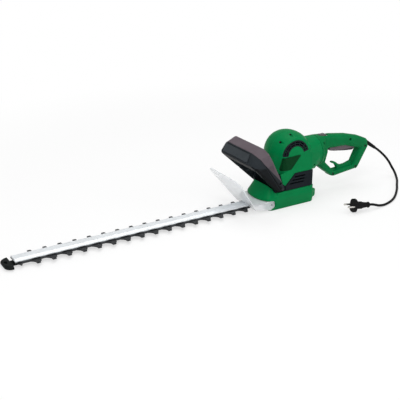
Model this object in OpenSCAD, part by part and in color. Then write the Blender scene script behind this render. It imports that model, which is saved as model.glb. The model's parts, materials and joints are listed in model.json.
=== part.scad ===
// Mains hedge trimmer: a vertical motor over a flat gear case, twin blades running under a guide bar,
// a hoop front handle with a switch bar and a rear handle that swivels on the motor housing.
// X runs from the blade tip (-X) to the cord (+X), +Z is up, and the machine stands on its base plate.

/* [Gear case] */
// Length of the base at the floor
case_len = 136; // [128:1:150]
// Width of the case at its shoulders
case_w = 100; // [98:0.5:104]
// Width of the case at the floor
case_foot_w = 88; // [84:0.5:94]
// Height of the case's shoulders
case_h = 47; // [46:0.5:52]
// Wall of the case
case_wall = 4; // [2.5:0.1:5]
// How far the rounded nose stands ahead of the base
nose_reach = 20; // [16:0.5:26]
// Height of the nose's lower edge
nose_base = 28; // [26:0.5:31]
// Height of the sloping front's top
dome_h = 68; // [62:0.5:70]
// Thickness of the metal base plate
base_plate_t = 3; // [2:0.1:4]
// Thickness of the bearing plate over the gear
bearing_plate_t = 5; // [4:0.1:6]

/* [Motor housing] */
// Motor axis, measured from the middle of the base
motor_x = 6; // [3:0.5:9]
// Place of the drum's centre behind the motor axis
drum_back = 8; // [6:0.5:10]
// Height of the drum's centre
drum_z = 132.5; // [131:0.5:136]
// Radius of the drum at its middle
drum_r = 56; // [56:0.5:60]
// Inward lean of the housing's sides, in degrees
side_lean = 4.5; // [2:0.5:5]
// Width of the housing across its flat sides
body_w = 96; // [94:0.5:98]
// Height of the housing's lower edge
body_base_z = 90; // [88:0.5:93]
// Wall of the housing shells
shell_wall = 3; // [2:0.1:3.5]
// Radius of the barrel that carries the rear handle
barrel_r = 40; // [38:0.5:42]
// Height of the barrel's centre
barrel_z = 121; // [119:0.5:123]
// Place of the joint between the housing and the rear handle
seam_x = 98; // [96:0.5:104]

/* [Motor] */
// Outer radius of the stator core
stator_r = 40; // [37:0.5:41]
// Height of the stator core
stator_h = 40; // [34:0.5:44]
// Radius of the armature core
armature_r = 23; // [20:0.5:25]
// Radius of the rotor shaft
rotor_shaft_r = 4; // [3.5:0.1:5]
// Radius of the commutator
commutator_r = 12; // [10:0.5:13]
// Radius of the fan
fan_r = 36; // [32:0.5:38]
// Number of fan blades
fan_blades = 12; // [8:1:16]

/* [Blade drive] */
// Gear module
gear_m = 1; // [0.9:0.05:1.1]
// Teeth on the pinion
pinion_teeth = 8; // [8:1:9]
// Teeth on the drive gear
gear_teeth = 56; // [48:1:58]
// Face width of the drive gear
gear_face = 7; // [5:0.5:8]
// Half of each blade's stroke
crank_e = 9; // [7:0.5:10]
// Radius of each eccentric
cam_r = 15; // [14.5:0.1:16]
// Radius of the gear shaft
gear_shaft_r = 5; // [4:0.1:5.5]

/* [Blades] */
// Distance from one tooth to the next
tooth_pitch = 36; // [30:0.5:37]
// Number of full teeth on each side
tooth_count = 16; // [10:1:17]
// How far a tooth stands out from the shank
tooth_reach = 17; // [13:0.5:19]
// Thickness of each blade
blade_t = 2; // [1.5:0.1:2.5]
// Width of the blade shanks and of the support bar
shank_w = 32; // [28:0.5:34]
// Thickness of the steel support bar
support_t = 2.5; // [2:0.1:4]
// Height of the rounded guide bar on top of the support bar
guide_h = 5; // [3:0.5:8]
// Height of the lower blade above the floor
blade_z = 8; // [7.5:0.1:9]
// Radius of the spacers that the blades run on
spacer_r = 4; // [3.5:0.1:4.5]
// Radius of the blade bolts
blade_bolt_r = 2.5; // [2:0.1:3]

/* [Guard] */
// Width of the guard at its top
guard_w = 140; // [120:1:150]
// Width of the guard at the blades
guard_foot_w = 90; // [88:0.5:92]
// Length of the guard's sloping plate
guard_len = 120; // [90:1:122]
// Lean of the guard from upright, in degrees
guard_lean = 37; // [32:0.5:42]
// Thickness of the clear guard
guard_t = 2.5; // [2:0.1:4]

/* [Front handle] */
// Width of the front handle at its crease
hoop_w = 170; // [164:1:174]
// Thickness of the front handle's legs at their feet
leg_t = 6.2; // [5:0.1:9]
// Wall of the front handle's shells
hoop_wall = 3; // [2:0.1:4]
// Depth of the bar below its crease
hoop_bar = 42; // [40:0.5:44]
// Length of the front switch bar
switch_bar_len = 104; // [90:1:106]
// Travel of the front switch bar
switch_bar_travel = 3; // [2:0.5:3.5]

/* [Rear handle] */
// Length of the rear handle behind the seam
handle_len = 181; // [176:1:200]
// How far the rear handle drops below the barrel's centre
handle_drop = 82.5; // [80:0.5:90]
// Width of the grip
grip_w = 33; // [31:0.5:38]
// Width of the loop below the grip
loop_w = 27; // [24:0.5:30]
// Height of the grip
grip_h = 34; // [33:0.5:37]
// Depth of the post behind the opening
rear_post = 16; // [12:0.5:18]
// Thickness of the bar below the opening
lower_bar = 13.5; // [10:0.5:16]
// Radius of the swivel neck
neck_r = 25; // [22:0.5:28]
// Width of the trigger
trigger_w = 15; // [10:0.5:18]

/* [Cord] */
// Diameter of the mains cord
cord_d = 6.5; // [5:0.1:7]
// Diameter of each plug pin
pin_d = 4.8; // [4:0.1:5]
// Distance between the plug pins
pin_gap = 19; // [18:0.1:20]

/* [Hidden] */
$fn = 64;

green = [0.01, 0.42, 0.25];
dark = [0.17, 0.18, 0.19];
steel = [0.62, 0.64, 0.66];
bright = [0.86, 0.88, 0.89];
black = [0.05, 0.05, 0.05];
copper = [0.72, 0.42, 0.22];
clear = [0.85, 0.92, 0.95, 0.5];

// Clearances: seat between fixed pieces, run between turning or sliding ones
seat = 0.3;
run = 0.05;
slide_gap = 0.4;

// Blade stack, from the floor up
lower_z = blade_z;
upper_z = lower_z + blade_t + 0.1;
support_z = upper_z + blade_t + 0.1;
guide_z = support_z + support_t;
head_h = 2.6;
tang_t = 2.6;

// Drive heights, from the blades up
gear_x = motor_x - gear_m * (gear_teeth + pinion_teeth) / 2;
gear_z = support_z + 1.5;
plate_z = gear_z + gear_face + 2;
rotor_bearing_z = plate_z + bearing_plate_t + 2;
bearing_od = 22;
bearing_h = 7;
fan_z = case_h + 8;
fan_h = 14;
stator_z = body_base_z + 7;
winding_h = 10;
brush_plate_z = stator_z + stator_h + winding_h + 2;
top_bearing_z = brush_plate_z + 20.5;
rotor_top = top_bearing_z + bearing_h;

// Blade length, from the yoke to the tip
yoke_half_x = cam_r + 2.2;
yoke_half_y = cam_r + crank_e + 1;
yoke_rim = 7;
first_tooth = -130;
last_tooth = first_tooth - (tooth_count - 1) * tooth_pitch;
tip_tooth = last_tooth - tooth_pitch;
blade_tip = tip_tooth - 6;
bolt_step = 3 * tooth_pitch;
bolt_list = [for (x = [-100 : -bolt_step : last_tooth - tooth_pitch / 2]) x];
front_bolt = tip_tooth + 18;
bolts = concat([for (x = bolt_list) if (x > front_bolt + 30) x], [front_bolt]);
bar_front = blade_tip - 5;
nose_front = blade_tip - crank_e - 20;
guard_x = -107;
guard_z = 12;

// Rear handle frame: everything is placed from the seam and the barrel's centre
function hx(x) = seam_x + x;
function hz(z) = barrel_z + z;

// Points on an arc
function arc_points(cx, cy, r, a0, a1, n) =
    [for (i = [0 : n]) let (a = a0 + (a1 - a0) * i / n) [cx + r * cos(a), cy + r * sin(a)]];

function unit(v) = v / norm(v);

// A polygon's corners [x, y, radius], each rounded by an arc
function rounded(c, n = 6) = [for (i = [0 : len(c) - 1]) let (
    p = [c[i][0], c[i][1]], r = c[i][2],
    q = c[(i + len(c) - 1) % len(c)], s = c[(i + 1) % len(c)],
    a = unit([q[0], q[1]] - p), b = unit([s[0], s[1]] - p),
    half = acos(a * b) / 2, d = r / tan(half), m = p + unit(a + b) * r / sin(half),
    u = p + a * d - m, v = p + b * d - m,
    a0 = atan2(u[1], u[0]), turn = (atan2(v[1], v[0]) - a0 + 540) % 360 - 180)
    each (r <= 0 ? [p] : [for (k = [0 : n]) m + r * [cos(a0 + turn * k / n), sin(a0 + turn * k / n)]])];

// Solid with its outline in the XZ plane, between two values of Y
module side_slab(y0, y1) {
    translate([0, y1, 0]) rotate([90, 0, 0]) linear_extrude(y1 - y0) children();
}

// Solid with its outline in the YZ plane, between two values of X
module front_slab(x0, x1) {
    translate([x0, 0, 0]) rotate([90, 0, 90]) linear_extrude(x1 - x0) children();
}

module box(a, b) { translate(a) cube(b - a); }

module tube(r, bore, h) {
    difference() {
        cylinder(r = r, h = h);
        translate([0, 0, -1]) cylinder(r = bore, h = h + 2);
    }
}

module cyl_x(r, x0, x1) { translate([x0, 0, 0]) rotate([0, 90, 0]) cylinder(r = r, h = x1 - x0); }
module cyl_y(r, y0, y1) { translate([0, y1, 0]) rotate([90, 0, 0]) cylinder(r = r, h = y1 - y0); }

// Draws its children on the far side and mirrored on the near side
module both_sides() { children(); mirror([0, 1, 0]) children(); }

// Pan-head screw standing on z = 0 with its shank below
module screw(head_r, head, shank_r, shank) {
    difference() {
        cylinder(r = head_r, h = head);
        for (a = [0, 90])
            rotate(a) translate([-head_r * 0.6, -0.5, head * 0.5]) cube([head_r * 1.2, 1, head]);
    }
    translate([0, 0, -shank]) cylinder(r = shank_r, h = shank + 0.01);
}

// Half-space on one side of the middle plane: side is -1 for the near half, 1 for the far half
module half_space(side) {
    big = 600;
    translate([-big, side < 0 ? -big : 0, -big]) cube([2 * big, big, 2 * big]);
}

// ---------------------------------------------------------------- gear case

module plan(x0, x1, w, r, z0, h) {
    translate([0, 0, z0]) linear_extrude(h)
        polygon(rounded([[x0, -w / 2, r], [x1, -w / 2, r], [x1, w / 2, r], [x0, w / 2, r]]));
}

case_half = case_len / 2;
plate_x = case_half - 7;
plate_y = case_foot_w / 2 - 6;
cavity_x = case_half - case_wall;
cavity_y = case_foot_w / 2 - case_wall;
collar_x0 = -44;
collar_x1 = 62;
base_screw_spots = [for (x = [-1, 0, 1]) for (y = [-1, 1]) [x * (plate_x - 5), y * (plate_y - 4)]];
plate_screw_spots = [for (x = [-1, 1]) for (y = [-1, 1]) [x * (cavity_x - 6), y * (cavity_y - 14)]];
collar_screw_spots = [for (y = [-1, 1]) for (x = [collar_x0 + 9, collar_x1 - 9])
    [x, y * (body_w / 2 - 12)]];
blade_slot_z = [blade_z - 3.4, guide_z];
bar_screw_x = -case_half + 8;
bumper_z = 22;
bumper_r = 11;
bumper_y = 42;

// Full-width block between two [x, corner radius] ends
module case_band(front, back, z0, z1) let (y = (case_w - 1) / 2) translate([0, 0, z0])
    linear_extrude(z1 - z0) polygon(rounded([[front[0], -y, front[1]], [back[0], -y, back[1]],
        [back[0], y, back[1]], [front[0], y, front[1]]]));

module gear_case() color(green) difference() {
    union() {
        // Sides that swell from the floor to the shoulders
        hull() {
            plan(-case_half, case_half + 4, case_foot_w, 10, 0, 2);
            plan(-case_half - 4, case_half + 6, case_w, 16, nose_base, 6);
        }
        case_band([collar_x0 - 4, 0], [case_half + 1, 12], nose_base + 2, case_h);
        // Rounded bumper across the back
        translate([case_half + 4, 0, bumper_z]) intersection() {
            cyl_y(bumper_r, -case_w, case_w);
            plan(-20, bumper_r, 2 * bumper_y, bumper_r, -bumper_r, 2 * bumper_r);
        }
        // Rounded nose and the sloping front above it
        hull() {
            translate([-case_half + 2, 0, nose_base]) scale([nose_reach + 2, case_w / 2 - 2, 1])
                cylinder(r = 1, h = 5, $fn = 48);
            plan(-case_half + 7, collar_x0 + 4, 2 * (case_w / 2 - 15), 12, dome_h - 6, 6);
            case_band([-case_half - 2, 16], [collar_x0 + 2, 0], nose_base, nose_base + 10);
        }
    }
    // Gear chamber, base plate rebate and the opening under the motor
    difference() {
        box([-cavity_x, -cavity_y, base_plate_t + 1.5], [cavity_x, cavity_y, plate_z]);
        // Block that the support bar is screwed up against, and bosses for the guard's screws
        box([-cavity_x - 1, -shank_w / 2 - 3, guide_z], [-cavity_x + 8, shank_w / 2 + 3, plate_z + 1]);
        both_sides() translate([guard_screw_x, 0, guard_screw_z])
            cyl_y(4.5, yoke_half_y + yoke_rim + 1, cavity_y + 1);
    }
    box([-plate_x + 3, -plate_y + 3, -1], [plate_x - 3, plate_y - 3, base_plate_t + 2]);
    box([-plate_x - seat, -plate_y - seat, -1], [plate_x + seat, plate_y + seat, base_plate_t]);
    box([-cavity_x - 0.1, -cavity_y - 0.1, plate_z - 0.01],
        [cavity_x + 0.1, cavity_y + 0.1, plate_z + bearing_plate_t]);
    translate([motor_x, 0, plate_z]) cylinder(r = fan_r + 2, h = dome_h);
    translate([gear_x, 0, plate_z])
        cylinder(r = gear_shaft_r + 4.3, h = bearing_plate_t + 3.3);
    // The front handle's feet and the vent collar stand clear of the case
    hoop_form(-seat);
    plan(collar_x0 - seat, collar_x1, 2 * (collar_y + seat), 16 + seat, case_h, dome_h);
    both_sides() side_slab(collar_y - pad_t - seat, collar_y + seat) polygon(inset(pad_corners, -seat));
    // Room under the nose stays open for the guard's skirt; the blades leave through this slot
    box([-case_half - 6, -shank_w / 2 - 3, blade_slot_z[0]], [0, shank_w / 2 + 3, blade_slot_z[1]]);
    box([-case_half - 2, -shank_w / 2 - 3, -1], [-plate_x + 4, shank_w / 2 + 3, blade_slot_z[0] + 1]);
    for (s = base_screw_spots) translate([s[0], s[1], -1]) cylinder(r = 1.5, h = 14);
    for (s = plate_screw_spots) translate([s[0], s[1], plate_z]) cylinder(r = 1.4, h = bearing_plate_t + 8);
    for (s = collar_screw_spots) translate([s[0], s[1], case_h - 12]) cylinder(r = 1.4, h = 13);
    both_sides() translate([guard_screw_x, 0, guard_screw_z]) cyl_y(1.4, cavity_y - 6.5, guard_y);
    for (y = [-1, 1]) translate([bar_screw_x, y * bar_screw_y, guide_z - 1]) cylinder(r = 1.4, h = 8);
    // Recesses for the guard's cheeks
    both_sides() side_slab(guard_y - guard_t - seat, case_w) polygon(rounded(cheek_corners(seat), 8));
}

guard_y = guard_foot_w / 2;
guard_screw_x = -case_half + 8;
guard_screw_z = 17;
bar_screw_y = 11;

// Metal base plate: its flat underside is what the machine stands on
module base_plate() color(steel) difference() {
    union() {
        box([-plate_x, -plate_y, 0], [plate_x, plate_y, base_plate_t]);
        translate([gear_x, 0, base_plate_t - 0.01]) cylinder(r = 9, h = lower_z - 0.6 - base_plate_t);
    }
    box([-plate_x - 1, -shank_w / 2 - 3, -1], [-plate_x + 5, shank_w / 2 + 3, base_plate_t + 1]);
    translate([gear_x, 0, 1]) cylinder(r = gear_shaft_r + 1.5, h = lower_z);
    for (s = base_screw_spots) {
        translate([s[0], s[1], -1]) cylinder(r = 1.7, h = base_plate_t + 2);
        translate([s[0], s[1], -1]) cylinder(r = 3.4, h = 2.4);
    }
}

// Screws of the base plate, and those of the bearing plate above it
module base_screws() color(steel) {
    for (s = base_screw_spots) translate([s[0], s[1], 1.4]) mirror([0, 0, 1]) screw(3.1, 1.3, 1.4, 10);
    for (s = plate_screw_spots) translate([s[0], s[1], plate_z]) mirror([0, 0, 1]) screw(3.1, 1.8, 1.35, 12);
}

// Cast plate over the gear chamber, with the lower rotor bearing and the gear's upper bush
module bearing_plate() color(steel) difference() {
    union() {
        box([-cavity_x, -cavity_y, plate_z], [cavity_x, cavity_y, plate_z + bearing_plate_t]);
        translate([motor_x, 0, plate_z])
            cylinder(r = bearing_od / 2 + 3, h = bearing_plate_t + bearing_h + 2);
        translate([gear_x, 0, plate_z]) cylinder(r = gear_shaft_r + 4, h = bearing_plate_t + 3);
    }
    translate([motor_x, 0, plate_z - 1]) cylinder(r = rotor_shaft_r + 2, h = 60);
    translate([motor_x, 0, rotor_bearing_z]) cylinder(r = bearing_od / 2 + 0.02, h = 60);
    translate([gear_x, 0, plate_z - 1]) cylinder(r = gear_shaft_r + 1.5, h = bearing_plate_t + 2);
    for (s = plate_screw_spots) translate([s[0], s[1], plate_z - 1]) cylinder(r = 1.6, h = 20);
}

// ---------------------------------------------------------------- vent collar

collar_y = body_w / 2 - 2;
pad_corners = [[collar_x0 + 20, case_h + seat], [collar_x0 - 10, case_h + seat],
    [collar_x0 - 16, case_h + 20], [collar_x0 - 8, body_base_z - seat], [collar_x0 + 20, body_base_z - seat]];
skirt_tip = [-24, 61];
vent_slots = 3;
pad_t = 9;

// The band's raised vent panel, behind the housing's skirt
module vent_panel_outline() polygon(rounded([
    [skirt_tip[0] + 1, case_h + 1.2, 0], [collar_x1 - 1, case_h + 1.2, 2],
    [collar_x1 - 1, body_base_z - seat, 0], [5.5, body_base_z - seat, 3],
    [skirt_tip[0] + 1, skirt_tip[1] - 1.6, 1]]));

module vent_collar() color(dark) difference() {
    union() {
        plan(collar_x0, collar_x1, 2 * collar_y, 16, case_h + 0.05, body_base_z - case_h - 0.1);
        both_sides() side_slab(collar_y - 3, collar_y + 3.2) vent_panel_outline();
        // Pads that the front handle's feet are screwed to
        both_sides() side_slab(collar_y - pad_t, collar_y) polygon(pad_corners);
    }
    plan(collar_x0 + 3, collar_x1 - 3, 2 * (collar_y - 3), 13, case_h + 3, body_base_z - case_h - 6);
    translate([motor_x, 0, case_h - 1]) cylinder(r = fan_r + 3, h = body_base_z);
    // Horizontal exhaust slots on both sides
    both_sides() for (i = [0 : vent_slots - 1])
        side_slab(collar_y - 8, collar_y + 8) polygon(rounded([
            [2 - 7 * (2 - i), 62 + 8 * i, 1.3], [34 + 1.5 * i, 62 + 8 * i, 1.3],
            [34 + 1.5 * i, 65.4 + 8 * i, 1.3], [2 - 7 * (2 - i) + 2, 65.4 + 8 * i, 1.3]], 3));
    for (s = collar_screw_spots) translate([s[0], s[1], case_h - 1]) cylinder(r = 1.7, h = 60);
    both_sides() for (s = foot_screws) translate([s[0], 0, s[1]]) cyl_y(1.4, collar_y - pad_t - 1, collar_y + 4);
}

foot_screws = [[-35, 56], [-46, 74]];

// ---------------------------------------------------------------- motor housing

rim_r = 28;
rim_y = body_w / 2 + 2;
drum_x = motor_x + drum_back;
body_front = drum_x - drum_r;
lean_z = 95;
lean_in = 105 * tan(side_lean);

// Drum with a domed rim and flat sides, shrunk all round by g
function rim_points(g) = [for (i = [0 : 12]) let (a = 74 - 148 * i / 12)
    [drum_r - rim_r - g + rim_r * cos(a), (rim_y - g) * sin(a)]];
module drum(g) translate([drum_x, 0, drum_z]) rotate([90, 0, 0]) rotate_extrude($fn = 96)
    polygon(concat([[0, body_w / 2 - g]], rim_points(g), [[0, -body_w / 2 + g]]));

// Everything between the housing's sides, which lean in above the skirts
module between_sides(g) front_slab(-120, 120) let (w = body_w / 2 - g) polygon([
    [-w, 40], [w, 40], [w, lean_z], [w - lean_in, lean_z + 105],
    [-w + lean_in, lean_z + 105], [-w, lean_z]]);

// Lower body under the drum: its front follows the drum's rim, its sides are flat
module body_block(g) let (front = -drum_r + g + 0.4, side = body_w / 2 - g)
    translate([drum_x, 0, body_base_z + g]) linear_extrude(drum_z - 5 - body_base_z - g) polygon(rounded([
        [taper_x - drum_x, -side, 0], [-30, -side, 12], [front + 12, -side + 5, 10], [front, -18, 20],
        [front, 18, 20], [front + 12, side - 5, 10], [-30, side, 12], [taper_x - drum_x, side, 0]]));
taper_x = 58;

// The body narrows to the round barrel behind the drum, squarer below than above
belly_y = 36;
belly_z = 84;
module barrel(g) {
    hull() {
        front_slab(taper_x - 3, taper_x) polygon(rounded([
            [-body_w / 2 + g, body_base_z + g, 2], [body_w / 2 - g, body_base_z + g, 2],
            [body_w / 2 - 4 - g, drum_z + 24 - g, 32], [-body_w / 2 + 4 + g, drum_z + 24 - g, 32]]));
        front_slab(seam_x - 21, seam_x - 19) polygon(rounded([
            [-belly_y + g, belly_z + g, 5], [belly_y - g, belly_z + g, 5],
            [belly_y - g, barrel_z, 5], [-belly_y + g, barrel_z, 5]]));
        translate([0, 0, barrel_z]) cyl_x(barrel_r - 0.6 - g, seam_x - 12, seam_x - 6);
    }
    translate([0, 0, barrel_z]) cyl_x(barrel_r - g, seam_x - 30, seam_x);
}

// The V-shaped skirts that lap over the vent collar
module skirts() both_sides()
    side_slab(collar_y + seat, body_w / 2) polygon(rounded([
        [-40.7, body_base_z + 4, 0], [-32.6, 67, 1],
        [skirt_tip[0], skirt_tip[1], 2], [4.5, body_base_z - 0.2, 3], [12, body_base_z + 4, 0],
        [12, body_base_z + 12, 0]]));

neck_gap = 0.1;
swivel_wall = 6;
flange_r = neck_r + 6;
flange_t = 4;
lock_notches = [-90, 0, 90];
lock_r = 31;

grille_r0 = 24;
grille_r1 = 39.5;
grille_a0 = 14;
grille_a1 = 176;
grille_x = motor_x + 3;
grille_z = drum_z + 1.5;

// Ring sector in the XZ plane about the vents' centre
module sector(r0, r1, a0, a1, n = 24) polygon(concat(
    arc_points(grille_x, grille_z, r1, a0, a1, n), arc_points(grille_x, grille_z, r0, a1, a0, n)));

shell_screw_spots = [[drum_x - 38, drum_z + 35.5], [drum_x - 9, drum_z + 50.5],
    [drum_x + 35, drum_z + 30.5], [seam_x - 30, body_base_z + 9]];

module housing_form(g) intersection() {
    union() {
        drum(g);
        body_block(g);
        barrel(g);
    }
    between_sides(g);
}

module motor_housing() difference() {
    union() {
        difference() {
            union() {
                difference() {
                    housing_form(0);
                    // Flat underside that sits on the vent collar
                    box([body_front - 10, -body_w, body_base_z - 40],
                        [collar_x1 + seat, body_w, body_base_z]);
                }
                skirts();
            }
            difference() {
                housing_form(shell_wall);
                // End wall that the rear handle turns in
                translate([0, 0, barrel_z]) cyl_x(barrel_r + 1, seam_x - swivel_wall, seam_x + 1);
            }
        }
        // Ribs that carry the stator, the brush plate and the top bearing
        intersection() {
            housing_form(1);
            union() {
                for (z = [stator_z + 6, stator_z + stator_h - 9]) difference() {
                    box([motor_x - stator_r - 8, -body_w, z], [motor_x + stator_r + 8, body_w, z + 3]);
                    translate([motor_x, 0, z - 1]) cylinder(r = stator_r + 0.2, h = 5);
                }
                difference() {
                    box([motor_x - 48, -body_w, brush_plate_z - 3.2],
                        [motor_x + 48, body_w, brush_plate_z - 0.1]);
                    translate([motor_x, 0, brush_plate_z - 4]) cylinder(r = stator_r - 3, h = 5);
                }
                difference() {
                    box([motor_x - 26, -body_w, top_bearing_z - 2],
                        [motor_x + 26, body_w, top_bearing_z + bearing_h + 2]);
                    translate([motor_x, 0, top_bearing_z])
                        cylinder(r = bearing_od / 2 + 0.02, h = bearing_h);
                    translate([motor_x, 0, top_bearing_z - 3]) cylinder(r = bearing_od / 2 - 3, h = 20);
                }
                for (s = shell_screw_spots) translate([s[0], 0, s[1]]) cyl_y(5, -body_w, body_w);
            }
        }
    }
    // Opening round the windings, over the fan
    translate([motor_x, 0, body_base_z - 2]) cylinder(r = stator_r - 1, h = 8);
    // Bore for the swivel neck, its stop notches and the air intakes
    translate([0, 0, barrel_z]) cyl_x(neck_r + neck_gap, seam_x - swivel_wall - 1, seam_x + 1);
    for (a = lock_notches) translate([seam_x - 3, 0, barrel_z]) rotate([a, 0, 0])
        translate([0, -4.3, lock_r - 3.3]) cube([4, 8.6, 6.6]);
    difference() {
        both_sides() side_slab(25, body_w)
            sector(grille_r0 + 2, grille_r1 - 2, grille_a0 + 3, grille_a1 - 3);
        housing_form(shell_wall + 1);
    }
    difference() {
        union() {
            both_sides() side_slab(25, body_w) sector(grille_r0, grille_r1, grille_a0, grille_a1);
            side_slab(-body_w, -20) label_outline(0);
        }
        housing_form(inlay_depth);
    }
    // Shell screws go in from the near side
    for (s = shell_screw_spots) translate([s[0], 0, s[1]]) {
        cyl_y(1.5, -20, 24);
        cyl_y(2.9, -body_w, -18);
    }
}

// Inlays follow the housing's surface: depth of their recess, and their own two faces
inlay_depth = 1.4;
module inlay(proud, back) difference() {
    housing_form(-proud);
    housing_form(back);
}

// Plain nameplate on the near side
label_corners = [[-34.5, 99.5], [-7, 101.5], [25, 135], [-30.5, 133.5]];
module label_outline(d) polygon(rounded([for (p = inset(label_corners, d)) [p[0], p[1], 2]]));
module label_plate() color([0.03, 0.25, 0.13]) intersection() {
    inlay(0.2, inlay_depth - 0.2);
    side_slab(-body_w, -20) label_outline(0.2);
}

module motor_shell_left() color(green) intersection() { motor_housing(); half_space(-1); }
module motor_shell_right() color(green) intersection() { motor_housing(); half_space(1); }

module shell_screws() color(steel) for (s = shell_screw_spots)
    translate([s[0], -18.05, s[1]]) rotate([90, 0, 0]) screw(2.7, 2.2, 1.4, 34);

// Louvred insert in each air intake
module intake_grille_right() color(dark) intersection() {
    inlay(-0.1, inlay_depth - 0.2);
    side_slab(25, body_w) difference() {
        sector(grille_r0 + 0.2, grille_r1 - 0.2, grille_a0 + 0.4, grille_a1 - 0.4);
        for (r = [grille_r0 + 3.6, grille_r0 + 9]) for (a = [grille_a0 + 6 : 26 : grille_a1 - 20])
            sector(r, r + 3, a, a + 22, 4);
    }
}
module intake_grille_left() mirror([0, 1, 0]) intake_grille_right();

// ---------------------------------------------------------------- motor

module stator_core() color(steel) translate([motor_x, 0, stator_z]) difference() {
    cylinder(r = stator_r, h = stator_h);
    translate([0, 0, -1]) cylinder(r = armature_r + 1, h = stator_h + 2);
    for (x = [-1, 1]) translate([x * (armature_r + 7), 0, -1]) linear_extrude(stator_h + 2)
        polygon(rounded([[-4, -15, 3], [4, -15, 3], [4, 15, 3], [-4, 15, 3]]));
}

// Two field coils, one through each window of the core
module stator_windings() color(copper) translate([motor_x, 0, stator_z - winding_h])
    for (x = [-1, 1]) translate([x * (armature_r + 7), 0, 0])
        linear_extrude(stator_h + 2 * winding_h)
            polygon(rounded([[-3.7, -14.7, 3], [3.7, -14.7, 3], [3.7, 14.7, 3], [-3.7, 14.7, 3]]));

module brush_plate() color(black) translate([motor_x, 0, brush_plate_z]) tube(stator_r, commutator_r + 3, 2.5);

brush_w = 6;
module brush_holders() color([0.75, 0.6, 0.3])
    for (x = [0, 1]) translate([motor_x, 0, brush_plate_z + 2.5]) rotate(180 * x) difference() {
        translate([commutator_r + 3, -brush_w / 2 - 2, 0]) cube([20, brush_w + 4, brush_w + 5]);
        translate([commutator_r, -brush_w / 2 - 0.1, 2]) cube([21, brush_w + 0.2, brush_w + 1]);
    }

module brushes() color(black)
    for (x = [0, 1]) translate([motor_x, 0, brush_plate_z + 4.6]) rotate(180 * x)
        translate([commutator_r + 0.25, -brush_w / 2, 0]) cube([14, brush_w, brush_w + 0.6]);

module motor_bearings() color(steel) {
    for (z = [rotor_bearing_z, top_bearing_z]) translate([motor_x, 0, z])
        tube(bearing_od / 2, rotor_shaft_r + run, bearing_h - 0.2);
}

// Shaft with a thin spigot for the pinion
spigot_r = 1.9;
module rotor_shaft() color(bright) translate([motor_x, 0, 0]) {
    translate([0, 0, gear_z - 0.4]) cylinder(r = spigot_r, h = gear_face + 2);
    translate([0, 0, gear_z + gear_face + 0.5])
        cylinder(r = rotor_shaft_r, h = rotor_top - gear_z - gear_face - 0.7);
}

module on_shaft(z, r, h) translate([motor_x, 0, z]) tube(r, rotor_shaft_r, h);

// Laminated core with its end windings
module armature() color(copper) {
    on_shaft(stator_z, armature_r, stator_h);
    on_shaft(stator_z - 8, armature_r - 5, 8.01);
    on_shaft(stator_z + stator_h - 0.01, armature_r - 5, 8);
}

module commutator() color(copper) on_shaft(brush_plate_z + 1, commutator_r, 15);

module fan() color(black) {
    on_shaft(fan_z, rotor_shaft_r + 5, fan_h);
    on_shaft(fan_z + fan_h - 2.5, fan_r, 2.5);
    for (i = [0 : fan_blades - 1]) translate([motor_x, 0, fan_z + 1]) rotate(360 * i / fan_blades)
        rotate([0, 0, 12]) translate([rotor_shaft_r + 4, -0.8, 0])
            cube([fan_r - rotor_shaft_r - 6, 1.6, fan_h - 3]);
}

// Involute gear outline: teeth z, module m, with a little backlash
function involute(rb, a) = rb * [cos(a) + a * PI / 180 * sin(a), sin(a) - a * PI / 180 * cos(a)];
function turn(p, a) = [p[0] * cos(a) - p[1] * sin(a), p[0] * sin(a) + p[1] * cos(a)];
function flank_angle(rb, r) = sqrt(max(0, r * r / (rb * rb) - 1)) * 180 / PI;
function gear_outline(m, z, slack) = let (
    rp = m * z / 2, rb = rp * cos(20), ra = rp + 0.9 * m, rf = rp - 1.15 * m,
    ap = flank_angle(rb, rp), ip = involute(rb, ap), off = atan2(ip[1], ip[0]),
    half = 90 / z - slack, top = flank_angle(rb, ra), low = flank_angle(rb, max(rb, rf + 0.05)))
    [for (i = [0 : z - 1]) let (c = 360 * i / z) each concat(
        [turn([rf, 0], c - 180 / z + 0.6)],
        [turn([rf, 0], c - half - off - 0.3)],
        [for (k = [0 : 4]) let (a = low + (top - low) * k / 4) turn(involute(rb, a), c - half - off)],
        [for (k = [4 : -1 : 0]) let (a = low + (top - low) * k / 4, p = involute(rb, a))
            turn([p[0], -p[1]], c + half + off)],
        [turn([rf, 0], c + half + off + 0.3)])];

module pinion() color(steel) translate([motor_x, 0, gear_z - 0.4]) difference() {
    rotate(180 / pinion_teeth + 180) linear_extrude(gear_face + 0.8)
        polygon(gear_outline(gear_m, pinion_teeth, 1.2));
    translate([0, 0, -1]) cylinder(r = spigot_r, h = gear_face + 3);
}

module drive_gear() color(steel) translate([gear_x, 0, gear_z]) difference() {
    linear_extrude(gear_face) polygon(gear_outline(gear_m, gear_teeth, 0.18));
    translate([0, 0, -1]) cylinder(r = gear_shaft_r, h = gear_face + 2);
    for (a = [0 : 60 : 300]) rotate(a) translate([(gear_m * gear_teeth / 2 + gear_shaft_r) / 2, 0, -1])
        cylinder(r = 4, h = gear_face + 2);
}

module gear_shaft() color(bright) translate([gear_x, 0, 1.6])
    cylinder(r = gear_shaft_r, h = plate_z + bearing_plate_t + 0.6 - 1.6);

// Two eccentric discs, half a turn apart: one drives each blade
module eccentrics() color(steel) for (c = [[lower_z, -1], [upper_z, 1]]) difference() {
    translate([gear_x, c[1] * crank_e, c[0]]) cylinder(r = cam_r, h = blade_t);
    translate([gear_x, 0, c[0] - 1]) cylinder(r = gear_shaft_r, h = blade_t + 2);
}

module gear_bushes() color([0.75, 0.6, 0.3]) {
    translate([gear_x, 0, 1]) tube(gear_shaft_r + 1.48, gear_shaft_r + run, lower_z - 0.6 - 1);
    translate([gear_x, 0, plate_z]) tube(gear_shaft_r + 1.48, gear_shaft_r + run, bearing_plate_t + 0.9);
}

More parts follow.
